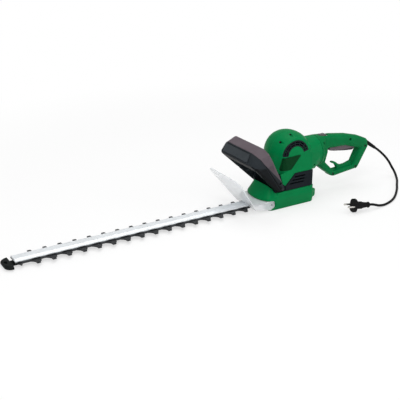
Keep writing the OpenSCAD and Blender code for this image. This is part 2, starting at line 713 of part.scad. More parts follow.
// ---------------------------------------------------------------- blades

// Outline of one tooth: [distance along the blade from the tooth's centre, distance out]
tooth_shape = [[-14, 0], [-7.5, 0.29], [-4.5, 0.52], [-3.5, 1],
    [4.5, 1], [5.5, 0.52], [9.5, 0.47], [10.5, 0]];
tooth_list = [for (i = [0 : tooth_count - 1]) first_tooth - i * tooth_pitch];

module tooth(x, reach, back = 1) translate([x, shank_w / 2]) polygon(concat([
    for (p = tooth_shape) [p[0] * back, p[1] * reach]], [[10.5 * back, -2], [-14 * back, -2]]));

// One blade: shank, teeth on both edges, slots for the spacers and the yoke around its eccentric
module blade() difference() {
    union() {
        box([blade_tip, -shank_w / 2, 0], [gear_x - yoke_half_x, shank_w / 2, blade_t]);
        both_sides() linear_extrude(blade_t) {
            for (x = tooth_list) tooth(x, tooth_reach);
            tooth(tip_tooth, tooth_reach / 2, 0.42);
        }
        box([gear_x - yoke_half_x - yoke_rim, -yoke_half_y - yoke_rim, 0],
            [gear_x + yoke_half_x + yoke_rim, yoke_half_y + yoke_rim, blade_t]);
    }
    box([gear_x - yoke_half_x, -yoke_half_y, -1], [gear_x + yoke_half_x, yoke_half_y, blade_t + 1]);
    for (x = bolts) {
        for (s = [-crank_e, crank_e]) translate([x + s, 0, -1]) cylinder(r = spacer_r + 0.2, h = blade_t + 2);
        box([x - crank_e, -spacer_r - 0.2, -1], [x + crank_e, spacer_r + 0.2, blade_t + 1]);
    }
}

module upper_blade() color(bright) translate([0, 0, upper_z]) blade();
module lower_blade() color(bright) translate([0, 0, lower_z]) blade();

// Steel bar that the blades hang under
module support_bar() color(steel) difference() {
    box([bar_front, -shank_w / 2, support_z], [-cavity_x + 8, shank_w / 2, guide_z]);
    for (x = bolts) translate([x, 0, support_z - 1]) cylinder(r = blade_bolt_r, h = support_t + 2);
    for (y = [-1, 1]) translate([bar_screw_x, y * bar_screw_y, support_z - 1]) {
        cylinder(r = 1.6, h = support_t + 2);
        cylinder(r = 3.3, h = support_t / 2 + 0.9);
    }
}

module bar_screws() color(steel) for (y = [-1, 1])
    translate([bar_screw_x, y * bar_screw_y, support_z + support_t / 2 - 0.1])
        mirror([0, 0, 1]) screw(3, 1.1, 1.4, 7);

// Rounded aluminium bar over it, reaching through the guard's slot
guide_back = guard_x + guard_t + 8.5;
module guide_bar() color(bright) difference() {
    intersection() {
        front_slab(bar_front, guide_back) polygon(rounded([
            [-shank_w / 2, guide_z, 0], [shank_w / 2, guide_z, 0],
            [shank_w / 2, guide_z + guide_h * 0.5, 2], [shank_w / 4, guide_z + guide_h, 9],
            [-shank_w / 4, guide_z + guide_h, 9], [-shank_w / 2, guide_z + guide_h * 0.5, 2]]));
        translate([0, 0, guide_z]) linear_extrude(guide_h + 1) polygon(rounded([
            [bar_front, -shank_w / 2 - 1, 2], [bar_front, shank_w / 2 + 1, 2],
            [guide_back, shank_w / 2 + 1, shank_w / 2], [guide_back, -shank_w / 2 - 1, shank_w / 2]], 12));
    }
    for (x = bolts) if (x < guide_back - 12)
        translate([x, 0, guide_z - 1]) cylinder(r = blade_bolt_r, h = guide_h / 2 + 1.1);
}

function has_tang(x) = x < front_bolt + bolt_step / 2;
function bolt_top(x) = x < guide_back - 12 ? guide_z + guide_h / 2 : guide_z;
module blade_bolts() color(steel) for (x = bolts) let (z = lower_z - 0.1 - (has_tang(x) ? tang_t : 0))
    translate([x, 0, z]) {
        translate([0, 0, -head_h]) cylinder(r = 6, h = head_h);
        cylinder(r = blade_bolt_r, h = bolt_top(x) - z);
    }

module blade_spacers() color(steel) for (x = bolts)
    translate([x, 0, lower_z - 0.1]) tube(spacer_r, blade_bolt_r, support_z - lower_z + 0.1);

// Plastic nose at the tip with its hanging slot, and the tang under the blades that holds it
nose_back = blade_tip - crank_e - 2;
nose_half = 27;
nose_z0 = 3.3;
nose_z1 = 12;
module nose_plan(g, z, h) translate([0, 0, z]) linear_extrude(h) polygon(rounded([
    [nose_front + g, nose_half - g, 16 - g], [nose_front + g, g - nose_half, 16 - g],
    [nose_back + 1, g - nose_half, 0], [nose_back + 1, nose_half - g, 0]], 12));
module tip_guard() color(dark) difference() {
    union() {
        hull() {
            nose_plan(1.5, nose_z0, 1);
            nose_plan(0, nose_z0 + 1.5, 3.5);
            nose_plan(4.5, nose_z1 - 0.5, 0.5);
        }
        box([nose_back - 8, -12, lower_z - 0.1 - tang_t],
            [front_bolt + bolt_step / 2 - 20, 12, lower_z - 0.1]);
    }
    // Back of the nose is cut straight, clear of the blades' tips
    box([nose_back, -60, lower_z - 0.1], [nose_back + 60, 60, 40]);
    box([nose_back, -60, -1], [nose_back + 60, -12, 40]);
    box([nose_back, 12, -1], [nose_back + 60, 60, 40]);
    for (s = [-3, 3]) translate([nose_front + 8, s, -1]) cylinder(r = 3.2, h = 30);
    box([nose_front + 4.8, -3, -1], [nose_front + 11.2, 3, 30]);
    for (x = bolts) translate([x, 0, 0]) cylinder(r = blade_bolt_r, h = 20);
    for (x = bolts) if (x > front_bolt + bolt_step / 2) translate([x, 0, 0]) cylinder(r = 7, h = 20);
}

// ---------------------------------------------------------------- guard

function cheek_corners(g) = [
    [guard_x - 1.5, 13 - g, 0], [-case_half + 3, 2.5 - g, 2], [guard_screw_x + 7.5 + g, 9 - g, 6],
    [guard_screw_x + 7.5 + g, nose_base - 2, 7], [guard_screw_x, nose_base - seat, 2],
    [guard_x - 13, nose_base - seat, 0]];

guard_slot = (guide_z + guide_h + 1 - guard_z + guard_t * sin(guard_lean)) / cos(guard_lean);
module guard() color(clear) difference() {
    union() {
        translate([guard_x, 0, guard_z]) rotate([0, -guard_lean, 0]) difference() {
            front_slab(-guard_t, 0) polygon(rounded([
                [-guard_y, 0, 3], [guard_y, 0, 3], [guard_w / 2 - 2, guard_len * 0.8, 30],
                [guard_w / 2, guard_len, 18], [-guard_w / 2, guard_len, 18],
                [-guard_w / 2 + 2, guard_len * 0.8, 30]]));
            box([-10, -shank_w / 2 - 1.5, -5], [10, shank_w / 2 + 1.5, guard_slot]);
        }
        both_sides() side_slab(guard_y - guard_t, guard_y) polygon(rounded(cheek_corners(0), 8));
        difference() {
            box([guard_x - 20, -guard_y, nose_base - seat - guard_t],
                [-case_half - 4.6, guard_y, nose_base - seat]);
            translate([guard_x, 0, guard_z]) rotate([0, -guard_lean, 0])
                box([-60, -90, -60], [-guard_t / 2, 90, 60]);
        }
        // Stiffening rib along the fold
        translate([guard_x, 0, guard_z]) rotate([0, -guard_lean, 0])
            box([-1, -guard_y + 8, 18.6], [5, guard_y - 8, 20.6]);
    }
    // Clear of the case's front between the cheeks
    box([-case_half - 4.8, -guard_y + guard_t, 0], [0, guard_y - guard_t, 60]);
    both_sides() translate([guard_screw_x, 0, guard_screw_z]) cyl_y(1.6, 30, guard_y + 1);
}

module guard_screws() color(steel) both_sides()
    translate([guard_screw_x, guard_y, guard_screw_z]) rotate([-90, 0, 0]) screw(3.2, 1.8, 1.35, 11);

// ---------------------------------------------------------------- front handle

// Side view of the bar [x, z]: rear top, crease, front, and the feet of the three edges
bar_rear = [-102, 178];
bar_crease = [-132.5, 169];
bar_lip = [-144, 140];
foot_z = 49;
edge_r = 6;
crease_top = bar_crease + [3.5, -5];
crease_foot = [-42, foot_z + edge_r];
hoop_half = hoop_w / 2;
leg_inner = collar_y + seat;
foot_half = leg_inner + leg_t;

module edge_ball(x, y, z, w) both_sides() translate([x, y - edge_r, z]) sphere(r = edge_r - w, $fn = 24);

// One edge of the handle: across the top, cut off at the corner, and down the leg to the foot
module hoop_edge(top, half, cut, drop, foot, w) {
    side = top + (foot - top) * drop;
    bend = top + (foot - top) * drop * 0.3;
    edge_ball(top[0], half - cut, top[1], w);
    edge_ball(bend[0], half - cut * 0.3, bend[1], w);
    edge_ball(side[0], half + (foot_half - half) * drop, side[1], w);
    edge_ball(foot[0], foot_half, foot[1], w);
}

module hoop_form(w) hull() {
    hoop_edge(bar_rear - [3, 7.5], hoop_half - 5, 17, 0.29, [-32.6, foot_z + edge_r], w);
    hoop_edge(crease_top, hoop_half, 30, 0.29, crease_foot, w);
    hoop_edge(bar_lip + [8, 1], hoop_half - 6, 8, 0.15, [-47.5, foot_z + edge_r], w);
}

// Direction along the bar's underside, from front to rear, and the way down from it
under_dir = unit([53, 40]);
under_down = [under_dir[1], -under_dir[0]];
under_mid = bar_crease + hoop_bar * under_down;
module hoop_opening() {
    box([-130, -leg_inner, 30], [0, leg_inner, 86]);
    hull() {
        box([-116, -leg_inner, 80], [-6, leg_inner, 85]);
        side_slab(-hoop_half + 25, hoop_half - 25) polygon([
            under_mid - 74 * under_dir, under_mid + 60 * under_dir,
            under_mid + 60 * under_dir + under_down, under_mid - 74 * under_dir + under_down]);
    }
}

// A polygon's corners moved inward by d
function inset(c, d) = [for (i = [0 : len(c) - 1]) let (p = c[i],
    a = unit(c[(i + len(c) - 1) % len(c)] - p), b = unit(c[(i + 1) % len(c)] - p))
    p + unit(a + b) * d / sin(acos(a * b) / 2)];

bar_section = [under_mid - 24 * under_dir, bar_lip, bar_crease, bar_rear, under_mid + 26.5 * under_dir];
cavity_half = hoop_half - 24;

// Frame of the face that holds the switch bar: x out of the face, z up along it
face_mid = (bar_lip + bar_crease) / 2;
face_tilt = atan2(bar_crease[0] - bar_lip[0], bar_crease[1] - bar_lip[1]);
module on_face() translate([face_mid[0], 0, face_mid[1]]) rotate([0, face_tilt, 0])
    mirror([1, 0, 0]) children();

switch_y0 = -switch_bar_len / 2 + 4;
switch_y1 = switch_bar_len / 2 + 4;
switch_half = 10.5;
module face_plate(x0, x1, grow) box([x0, switch_y0 - grow, -switch_half - grow],
    [x1, switch_y1 + grow, switch_half + grow]);

spring_spots = [switch_y0 + 18, switch_y1 - 18];
module hoop_shells() difference() {
    hoop_form(0);
    hoop_opening();
    intersection() {
        hoop_form(hoop_wall);
        union() {
            difference() {
                side_slab(-cavity_half, cavity_half) polygon(inset(bar_section, hoop_wall + 0.5));
                // Ribs behind the springs and the front switch, tied to the lower front wall
                on_face() for (y = spring_spots) box([-21, y - 6, -40], [-18.6, y + 6, 1]);
                on_face() box([-24, -15, -40], [-21.6, 15, -3]);
            }
            // Flange room under the opening's edge
            on_face() face_plate(-10, -hoop_wall - 0.5, 3);
        }
    }
    on_face() face_plate(-hoop_wall - 1, 10, slide_gap);
    // Channel for the front switch's wires, down the near leg
    front_wire_path(1.7);
    both_sides() {
        for (s = hoop_screws) at_crease(s) {
            translate([0, 0, -40]) cylinder(r = 1.4, h = 48);
            translate([0, 0, -60]) cylinder(r = 3.6, h = 51);
        }
        for (s = foot_screws) translate([s[0], 0, s[1]]) {
            cyl_y(1.6, collar_y - 1, foot_half + 30);
            cyl_y(3.5, foot_half - 1.8, foot_half + 30);
        }
    }
}

// Screws that close the two shells: [y, height] on the crease plane, pointing to the front
hoop_screws = [[hoop_half - 19, 143], [leg_inner + 13.7, 104]];
crease_dir = unit(crease_top - crease_foot);
crease_tilt = atan2(crease_dir[1], -crease_dir[0]);
function crease_x(z) = crease_foot[0] + (z - crease_foot[1]) * crease_dir[0] / crease_dir[1];
module at_crease(s) translate([crease_x(s[1]), s[0], s[1]]) rotate([0, crease_tilt, 0]) children();
module behind_crease(side) translate([crease_foot[0], 0, crease_foot[1]]) rotate([0, crease_tilt, 0])
    translate([-300, -300, side < 0 ? -600 : 0]) cube(600);

wire_r = 1.4;
module front_wire_path(r) let (
    a = [crease_x(58), -leg_inner - 3.1, 58], b = [crease_x(140), -leg_inner - 15.7, 140], d = b - a)
    translate(a) rotate([0, acos(d[2] / norm(d)), atan2(d[1], d[0])]) cylinder(r = r, h = norm(d));

module front_handle_front() color([0.26, 0.27, 0.28]) intersection() { hoop_shells(); behind_crease(-1); }
module front_handle_rear() color([0.42, 0.38, 0.41]) intersection() { hoop_shells(); behind_crease(1); }
module front_wires() color(black) front_wire_path(wire_r);

module front_handle_screws() color(steel) both_sides() {
    for (s = hoop_screws) at_crease(s) translate([0, 0, -9]) rotate([180, 0, 0]) screw(3.4, 2.2, 1.35, 16);
    for (s = foot_screws) translate([s[0], foot_half - 1.8, s[1]]) rotate([-90, 0, 0]) screw(3.3, 1.7, 1.3, 13);
}

// Long bar pressed by the fingers, with its flange behind the shell's wall
flange_x = -hoop_wall - 0.8;
bar_back = -hoop_wall - 1 + switch_bar_travel;
face_out = [-cos(face_tilt), 0, sin(face_tilt)];
module switch_bar() color(dark) {
    on_face() face_plate(bar_back, 1.2, 0);
    on_face() face_plate(flange_x - 2, bar_back + 0.1, -4);
    // The part behind the wall stays inside the shells over the whole travel
    intersection() {
        on_face() union() {
            face_plate(flange_x - 1, flange_x, 0);
            face_plate(flange_x - 2.4, flange_x, 1.8);
        }
        hoop_form(hoop_wall + slide_gap);
        translate(switch_bar_travel * face_out) hoop_form(hoop_wall + slide_gap);
    }
}

// Coil spring along z as a swept round wire
function coil_point(r, pitch, a) = [r * cos(a), r * sin(a), pitch * a / 360];
module coil(r, wire, h, turns) {
    steps = 12 * turns;
    sides = 6;
    pitch = (h - 2 * wire) / turns;
    points = [for (i = [0 : steps]) let (a = 30 * i, c = coil_point(r, pitch, a)) for (k = [0 : sides - 1])
        c + wire * [cos(a) * cos(60 * k), sin(a) * cos(60 * k), sin(60 * k)]];
    sidefaces = [for (i = [0 : steps - 1]) for (k = [0 : sides - 1]) let (n = (k + 1) % sides)
        [i * sides + k, i * sides + n, (i + 1) * sides + n, (i + 1) * sides + k]];
    translate([0, 0, wire]) polyhedron(points, concat(sidefaces,
        [[for (k = [sides - 1 : -1 : 0]) k]], [[for (k = [0 : sides - 1]) steps * sides + k]]));
}

module switch_bar_springs() color(steel) on_face() for (y = spring_spots)
    translate([-18.55, y, -4]) rotate([0, 90, 0]) coil(3.5, 0.5, 18.4 + flange_x - 2.4, 4);

module front_switch() color(black) on_face() {
    box([-21.6, -14, -8], [flange_x - 2.4 - switch_bar_travel - 1.2, 14, 3]);
    box([-12, -2, -4], [flange_x - 2.4 - switch_bar_travel - 0.3, 2, -1]);
}

// ---------------------------------------------------------------- rear handle

front_gap = 0.3;
hl = handle_len;
hd = handle_drop;
grip_half = grip_w / 2;
loop_half = loop_w / 2;

module handle_ball(x, z, r, half) both_sides()
    translate([hx(x), half - r, hz(z)]) sphere(r = r, $fn = 20);

// Grip, rear post, lower bar and front web, each a rounded block between its corner balls
module handle_solid() {
    hull() {
        handle_ball(14, 24, 13, grip_half);
        handle_ball(14, 12, 12, grip_half);
        handle_ball(100, 15.5, 13, grip_half);
        handle_ball(110, 31 - grip_h + 9.5, 9, grip_half - 1);
        handle_ball(50, 38.5 - grip_h + 9, 9, grip_half - 1);
        handle_ball(50, 23, 13, grip_half);
    }
    hull() {
        handle_ball(100, 15.5, 13, grip_half);
        handle_ball(104, 31 - grip_h + 9.5, 9, grip_half - 1);
        handle_ball(hl - 39, 5.5, 12, grip_half - 1);
        handle_ball(hl - 42, -4, 9, grip_half - 1);
        handle_ball(hl - 12, -4.5, 10.5, loop_half + 1);
        handle_ball(hl - 12, -16, 9, loop_half);
    }
    hull() {
        handle_ball(hl - 8, -15, 8.5, loop_half);
        handle_ball(hl - 22, -15, 6, loop_half);
        handle_ball(hl - 9 - rear_post, -22, 6, loop_half);
        handle_ball(hl - 36, -64, 7, loop_half);
        handle_ball(hl - 31 - rear_post, -66, 6, loop_half);
        handle_ball(hl - 39, -68, 7, loop_half);
    }
    hull() {
        handle_ball(hl - 38, -67, 7, loop_half);
        handle_ball(hl - 63, -70.5, 4.5, loop_half);
        handle_ball(66, -hd + 7, 6.5, loop_half);
        handle_ball(58, -hd + lower_bar - 4, 6, loop_half);
        handle_ball(74, -hd + lower_bar - 5.2, 6, loop_half);
    }
    hull() {
        handle_ball(64, -hd + 8, 6.5, loop_half);
        handle_ball(46, -hd + lower_bar + 6, 6, loop_half);
        handle_ball(14, -36, 8, loop_half + 1);
        handle_ball(27, -38, 6, loop_half + 1);
        handle_ball(9, -26, 7, loop_half + 1);
    }
    hull() {
        handle_ball(14, -36, 8, loop_half + 1);
        handle_ball(27, -38, 6, loop_half + 1);
        handle_ball(34, -9, 8, loop_half + 1);
        handle_ball(34, 12, 8, loop_half + 1);
        handle_ball(12, 8, 7, loop_half + 1);
    }
    // Round front that meets the housing
    hull() {
        translate([0, 0, barrel_z]) cyl_x(barrel_r, seam_x + front_gap, seam_x + 5);
        side_slab(-grip_half + 3, grip_half - 3) polygon([
            [hx(26), hz(-36)], [hx(27), hz(-36)], [hx(27), hz(36)], [hx(26), hz(36)]]);
    }
    // Swivel neck and its flange inside the housing
    translate([0, 0, barrel_z]) {
        cyl_x(neck_r, seam_x - swivel_wall - flange_t - 0.6, seam_x + 4);
        cyl_x(flange_r, seam_x - swivel_wall - flange_t - 0.6, seam_x - swivel_wall - 0.6);
    }
}

// Inside of the handle, open to the neck
module handle_cavity() {
    translate([0, 0, barrel_z]) cyl_x(neck_r - 5, seam_x - swivel_wall - flange_t - 1, seam_x + 9);
    difference() {
        side_slab(-grip_half + 4.5, grip_half - 4.5) polygon([
            [hx(6), hz(-24)], [hx(30), hz(-16)], [hx(41), hz(9)], [hx(110), hz(1)], [hx(hl - 30), hz(-10)],
            [hx(hl - 30), hz(2)], [hx(hl - 42), hz(13)], [hx(97), hz(24)], [hx(50), hz(31.8)],
            [hx(6), hz(33)]]);
        // Shelf over the trigger spring and posts for the screws
        box([hx(48), -20, hz(spring_shelf)], [hx(60), 20, hz(spring_shelf + 2)]);
        for (s = handle_screw_spots) translate([hx(s[0]), 0, hz(s[1])]) cyl_y(4, -20, 20);
        translate([hx(trigger_x), 0, hz(trigger_z)]) cyl_y(4.4, trigger_w / 2 + 0.3, 20);
        translate([hx(trigger_x), 0, hz(trigger_z)]) cyl_y(4.4, -20, -trigger_w / 2 - 0.3);
    }
    // Hollow rear post and lower bar
    side_slab(-loop_half + 4, loop_half - 4) polygon([
        [hx(hl - 21), hz(-26)], [hx(hl - 12), hz(-24)], [hx(hl - 37), hz(-62)], [hx(hl - 46), hz(-64)]]);
    side_slab(-loop_half + 4, loop_half - 4) polygon([
        [hx(hl - 52), hz(-70.5)], [hx(hl - 54), hz(-69)], [hx(76), hz(-hd + lower_bar - 4)],
        [hx(70), hz(-hd + 4.5)]]);
    // Pocket for the cord's inner end and its clamp
    side_slab(-grip_half + 5.5, grip_half - 5.5) polygon([[hx(138), hz(-8)], [hx(138), hz(12)],
        [hx(150), hz(11)], [hx(162.5), hz(6.8)], [hx(162.5), hz(0)], [hx(150), hz(-10)]]);
}

spring_shelf = 24;
trigger_x = hl - 49;
trigger_z = -6;
handle_screw_spots = [[12, 22.5], [20, -29], [112, 14], [hl - 13, -14], [62, -hd + 8], [hl - 42, -67]];

// Hook for a loop of the extension lead, standing in the opening on the lower bar
module cable_hook() side_slab(-5, 5) polygon([for (p = rounded([
    [90, -72, 0], [79, -72, 0], [81, -62, 2], [76, -54, 2], [66, -47.5, 1], [62.5, -47, 1], [62, -44, 1],
    [66, -42.5, 2], [76, -46, 4], [86, -54, 4], [97, -58, 5], [110, -57, 6], [128, -52, 0], [132, -62, 0],
    [120, -61.5, 4], [108, -62.5, 3], [97, -64, 2], [93, -67, 1]], 4)) [hx(p[0]), hz(p[1])]]);

module handle_body() difference() {
    union() {
        handle_solid();
        cable_hook();
    }
    handle_cavity();
    // Slot for the trigger
    side_slab(-trigger_w / 2 - slide_gap, trigger_w / 2 + slide_gap) polygon([
        [hx(46.5), hz(-12)], [hx(46.5), hz(14)], [hx(trigger_x + 6), hz(8)], [hx(trigger_x + 7.5), hz(-30)],
        [hx(90), hz(-30)]]);
    translate([hx(trigger_x), 0, hz(trigger_z)]) cyl_y(2, -trigger_w / 2 - 5, trigger_w / 2 + 5);
    // Slot and guide for the lock slider
    box([hx(-1), -4.4, hz(lock_r - 3.4)], [hx(20.1), 4.4, hz(lock_r + 3.4)]);
    box([hx(16), -7.4, hz(button_z - 0.4)], [hx(43), 7.4, hz(60)]);
    box([hx(20), -4.4, hz(28)], [hx(43), 4.4, hz(50)]);
    relief_seat();
    for (s = handle_screw_spots) translate([hx(s[0]), 0, hz(s[1])]) {
        cyl_y(1.4, -14, 12);
        cyl_y(3.5, -30, -9);
    }
}

module handle_shell_left() color(green) intersection() { handle_body(); half_space(-1); }
module handle_shell_right() color(green) intersection() { handle_body(); half_space(1); }

module handle_screws() color(steel) for (s = handle_screw_spots)
    translate([hx(s[0]), -9.05, hz(s[1])]) rotate([90, 0, 0]) screw(3.2, 2, 1.35, 20);

button_z = 34.5;
// Rotation lock: thumb button, neck and the tongue that enters the housing's notches
module lock_slider() color([0.45, 0.43, 0.44]) {
    box([hx(18), -7, hz(button_z)], [hx(35), 7, hz(button_z + 3.5)]);
    for (i = [0 : 3]) box([hx(19.5 + 4 * i), -6, hz(button_z + 3.4)], [hx(21.5 + 4 * i), 6, hz(button_z + 5)]);
    box([hx(24), -4, hz(lock_r - 3)], [hx(33), 4, hz(button_z + 0.1)]);
    box([hx(front_gap), -4, hz(lock_r - 3)], [hx(24.1), 4, hz(lock_r + 3)]);
}

module lock_spring() color(steel) translate([hx(33.05), 0, hz(lock_r)]) rotate([0, 90, 0]) coil(2.6, 0.4, 9.9, 4);

module trigger() color([0.28, 0.26, 0.27]) difference() {
    side_slab(-trigger_w / 2, trigger_w / 2) polygon([for (p = rounded([
        [49, -8.5, 3], [62, -11.5, 20], [100, -17, 20], [trigger_x - 4, -19.5, 3],
        [trigger_x + 5.5, -12, 2],
        [trigger_x + 5.5, -1, 3], [trigger_x - 4, 0, 2], [60, 9, 2], [49, 8, 2]], 4)) [hx(p[0]), hz(p[1])]]);
    translate([hx(trigger_x), 0, hz(trigger_z)]) cyl_y(2 + run, -20, 20);
    box([hx(50.5), -3.8, hz(trigger_top(spring_x) - 1)], [hx(57.5), 3.8, hz(30)]);
}

// Height of the trigger's upper face above the barrel's centre
function trigger_top(x) = 9 - (x - 60) * 9 / (trigger_x - 64);

module trigger_pin() color(bright) translate([hx(trigger_x), 0, hz(trigger_z)])
    cyl_y(1.98, -trigger_w / 2 - 4.8, trigger_w / 2 + 4.8);

spring_x = 54;
module trigger_spring() color(steel) translate([hx(spring_x), 0, hz(trigger_top(spring_x) - 1)])
    coil(3, 0.5, spring_shelf - trigger_top(spring_x) + 1, 4);

plunger_x = 79.5;
plunger_gap = 0.75;
switch_z = 14;
switch_h = 10.3;
module rear_switch() color(black) difference() {
    box([hx(plunger_x - 12.5), -8, hz(switch_z)], [hx(plunger_x + 12.5), 8, hz(switch_z + switch_h)]);
    translate([hx(plunger_x), 0, hz(switch_z - 1)]) cylinder(r = 2 + run, h = switch_h);
}

module rear_plunger() color(copper) translate([hx(plunger_x), 0, hz(trigger_top(plunger_x) + plunger_gap)])
    cylinder(r = 2, h = switch_z - trigger_top(plunger_x) + 3 - plunger_gap);

// Suppression capacitor in the handle's front
module capacitor() color([0.8, 0.65, 0.1]) box([hx(9), -9, hz(-18)], [hx(24), 9, hz(-6)]);

// Wires from the neck to the switch, and the cord's inner end behind it
wire_z = 17;
inner_cord_z = 3.7;
module handle_wires() color(black) {
    for (y = [-6, 6]) translate([0, y, hz(wire_z)]) cyl_x(wire_r - 0.2, hx(-8), hx(plunger_x - 12.5));
    translate([0, 0, hz(inner_cord_z)]) cyl_x(cord_r - 0.05, hx(141), hx(162.4));
}

// ---------------------------------------------------------------- cord and plug

cord_r = cord_d / 2;
cord_start = [hx(hl), 0, 0];

// Route of the cord, from the strain relief's tip to the plug
cord_route = [
    [34.5, 0, 90], [47, 0, 81.5], [61, -1, 70], [75, -2, 57], [87, -5, 42], [94, -11, 27], [97, -21, 14],
    [91, -35, 6], [80, -50, 3.5], [66, -65, 3.5], [51, -80, 3.5], [37, -95, 3.5], [18, -113, 3.5],
    [-3, -131, 3.5], [-25, -147, 3.5], [-49, -159, 3.5], [-75, -166, 3.5], [-95, -168, 6.5],
    [-107, -168, 10.5], [-117.7, -166.9, 13.7], [-127.5, -165.2, 14.7]];
cord_points = [for (p = cord_route) cord_start + p];
cord_end = cord_points[len(cord_points) - 1];
relief_tip = cord_points[0];
relief_root = [hx(hl - 7), 0, hz(-3)];

// Tube swept along points, with rings square to the path
function tangent(p, i) = unit(p[min(i + 1, len(p) - 1)] - p[max(i - 1, 0)]);
module swept_tube(p, r, sides = 10) {
    points = [for (i = [0 : len(p) - 1]) let (
        t = i == 0 ? unit(relief_tip - relief_root) : i == len(p) - 1 ? plug_dir : tangent(p, i),
        u = unit(cross([0, 0, 1], t)), v = cross(t, u))
        for (k = [0 : sides - 1]) p[i] + r * (cos(360 * k / sides) * u + sin(360 * k / sides) * v)];
    sidefaces = [for (i = [0 : len(p) - 2]) for (k = [0 : sides - 1]) let (n = (k + 1) % sides)
        [i * sides + k, i * sides + n, (i + 1) * sides + n, (i + 1) * sides + k]];
    polyhedron(points, concat([for (f = sidefaces) [f[3], f[2], f[1], f[0]]],
        [[for (k = [0 : sides - 1]) k]], [[for (k = [sides - 1 : -1 : 0]) (len(p) - 1) * sides + k]]));
}

module power_cord() color(black) swept_tube(cord_points, cord_r);

// Rubber sleeve where the cord leaves the handle, with a collar held between the shells
relief_axis = unit(relief_tip - relief_root);
relief_gap = 0.5;
relief_reach = norm(relief_tip - relief_root) - relief_gap;
module at_relief() translate(relief_root) rotate([0, 90 + asin(-relief_axis[2]), 0]) children();
module strain_relief() color(black) at_relief() {
    translate([0, 0, -0.01]) cylinder(r1 = 5.8, r2 = cord_r + 0.9, h = relief_reach);
    translate([0, 0, -12]) cylinder(r = 4.8, h = 12.5);
    translate([0, 0, -7]) cylinder(r = 5.6, h = 3);
}
module relief_seat() at_relief() {
    translate([0, 0, -14]) cylinder(r = 4.85, h = 16);
    translate([0, 0, -7.05]) cylinder(r = 5.65, h = 3.1);
    translate([0, 0, -0.3]) cylinder(r = 6, h = 20);
}

// Bridge that grips the cord's inner end
module cord_clamp() color(dark) difference() {
    box([hx(146), -9, hz(-4)], [hx(153), 9, hz(3.2)]);
    translate([0, 0, hz(inner_cord_z)]) cyl_x(cord_r, hx(140), hx(160));
}

// Two-pin plug lying on its side: x runs out along the pins
plug_dir = unit([-0.98, 0.17, 0.10]);
plug_len = 48;
plug_flange = 7;
module at_plug() translate(cord_end)
    rotate([0, -asin(plug_dir[2]), atan2(plug_dir[1], plug_dir[0])]) children();

module plug_body() color(black) at_plug() union() {
    hull() {
        cyl_x(5, 0, 1);
        cyl_x(8, 20, 24, $fn = 32);
    }
    hull() {
        cyl_x(8, 22, 26, $fn = 32);
        cyl_x(9.5, plug_len - plug_flange - 1, plug_len - plug_flange, $fn = 32);
    }
    front_slab(plug_len - plug_flange - 0.5, plug_len) polygon(rounded([
        [-13, -17, 11], [13, -17, 11], [13, 17, 11], [-13, 17, 11]]));
}

module plug_pins() color(bright) at_plug() for (y = [-1, 1]) translate([0, y * pin_gap / 2, 0]) {
    cyl_x(pin_d / 2, plug_len, plug_len + 18);
    cyl_x(pin_d / 2 - 0.5, plug_len + 17.9, plug_len + 19);
}

// ---------------------------------------------------------------- the nodes

gear_case();
base_plate();
base_screws();
bearing_plate();
vent_collar();
motor_shell_left();
motor_shell_right();
shell_screws();
label_plate();
intake_grille_left();
intake_grille_right();
stator_core();
stator_windings();
brush_plate();
brush_holders();
brushes();
motor_bearings();
rotor_shaft();
armature();
commutator();
fan();
pinion();
drive_gear();
gear_shaft();
eccentrics();
gear_bushes();
upper_blade();
lower_blade();
support_bar();
guide_bar();
bar_screws();
blade_bolts();
blade_spacers();
tip_guard();
guard();
guard_screws();
front_handle_front();
front_handle_rear();
front_handle_screws();
switch_bar();
switch_bar_springs();
front_switch();
front_wires();
handle_shell_left();
handle_shell_right();
handle_screws();
lock_slider();
lock_spring();
trigger();
trigger_pin();
trigger_spring();
rear_switch();
rear_plunger();
capacitor();
handle_wires();
cord_clamp();
strain_relief();
power_cord();
plug_body();
plug_pins();
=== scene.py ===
import json
import math

import bmesh
import bpy
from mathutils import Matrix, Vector


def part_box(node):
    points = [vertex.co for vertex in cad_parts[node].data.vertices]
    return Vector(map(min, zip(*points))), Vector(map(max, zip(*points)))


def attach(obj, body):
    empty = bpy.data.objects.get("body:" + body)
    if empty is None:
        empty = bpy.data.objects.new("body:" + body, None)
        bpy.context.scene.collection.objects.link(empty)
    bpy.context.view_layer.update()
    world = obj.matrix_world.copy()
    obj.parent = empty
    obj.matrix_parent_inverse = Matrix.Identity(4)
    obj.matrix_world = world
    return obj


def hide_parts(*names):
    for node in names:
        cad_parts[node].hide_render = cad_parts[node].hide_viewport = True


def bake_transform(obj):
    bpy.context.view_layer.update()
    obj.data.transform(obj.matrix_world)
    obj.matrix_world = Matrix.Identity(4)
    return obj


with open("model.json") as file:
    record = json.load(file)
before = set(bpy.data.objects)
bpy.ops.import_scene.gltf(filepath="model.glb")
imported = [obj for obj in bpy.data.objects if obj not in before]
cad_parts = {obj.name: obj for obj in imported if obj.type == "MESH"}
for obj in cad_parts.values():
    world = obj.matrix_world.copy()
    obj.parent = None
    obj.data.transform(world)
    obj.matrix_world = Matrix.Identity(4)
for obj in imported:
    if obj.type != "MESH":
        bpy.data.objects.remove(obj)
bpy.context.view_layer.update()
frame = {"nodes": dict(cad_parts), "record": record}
nodes = frame["nodes"]
body_of = {node: body
           for body, names in frame["record"]["behaviour"]["bodies"].items()
           for node in names}


# ------------------------------------------------------------------ helpers

def place(name, data):
    """Object with this data, linked to the scene."""
    ob = bpy.data.objects.new(name, data)
    bpy.context.scene.collection.objects.link(ob)
    return ob


def aimed(direction):
    """Rotation that turns a camera or a lamp to look along the direction."""
    return Vector(direction).to_track_quat("-Z", "Y").to_euler()


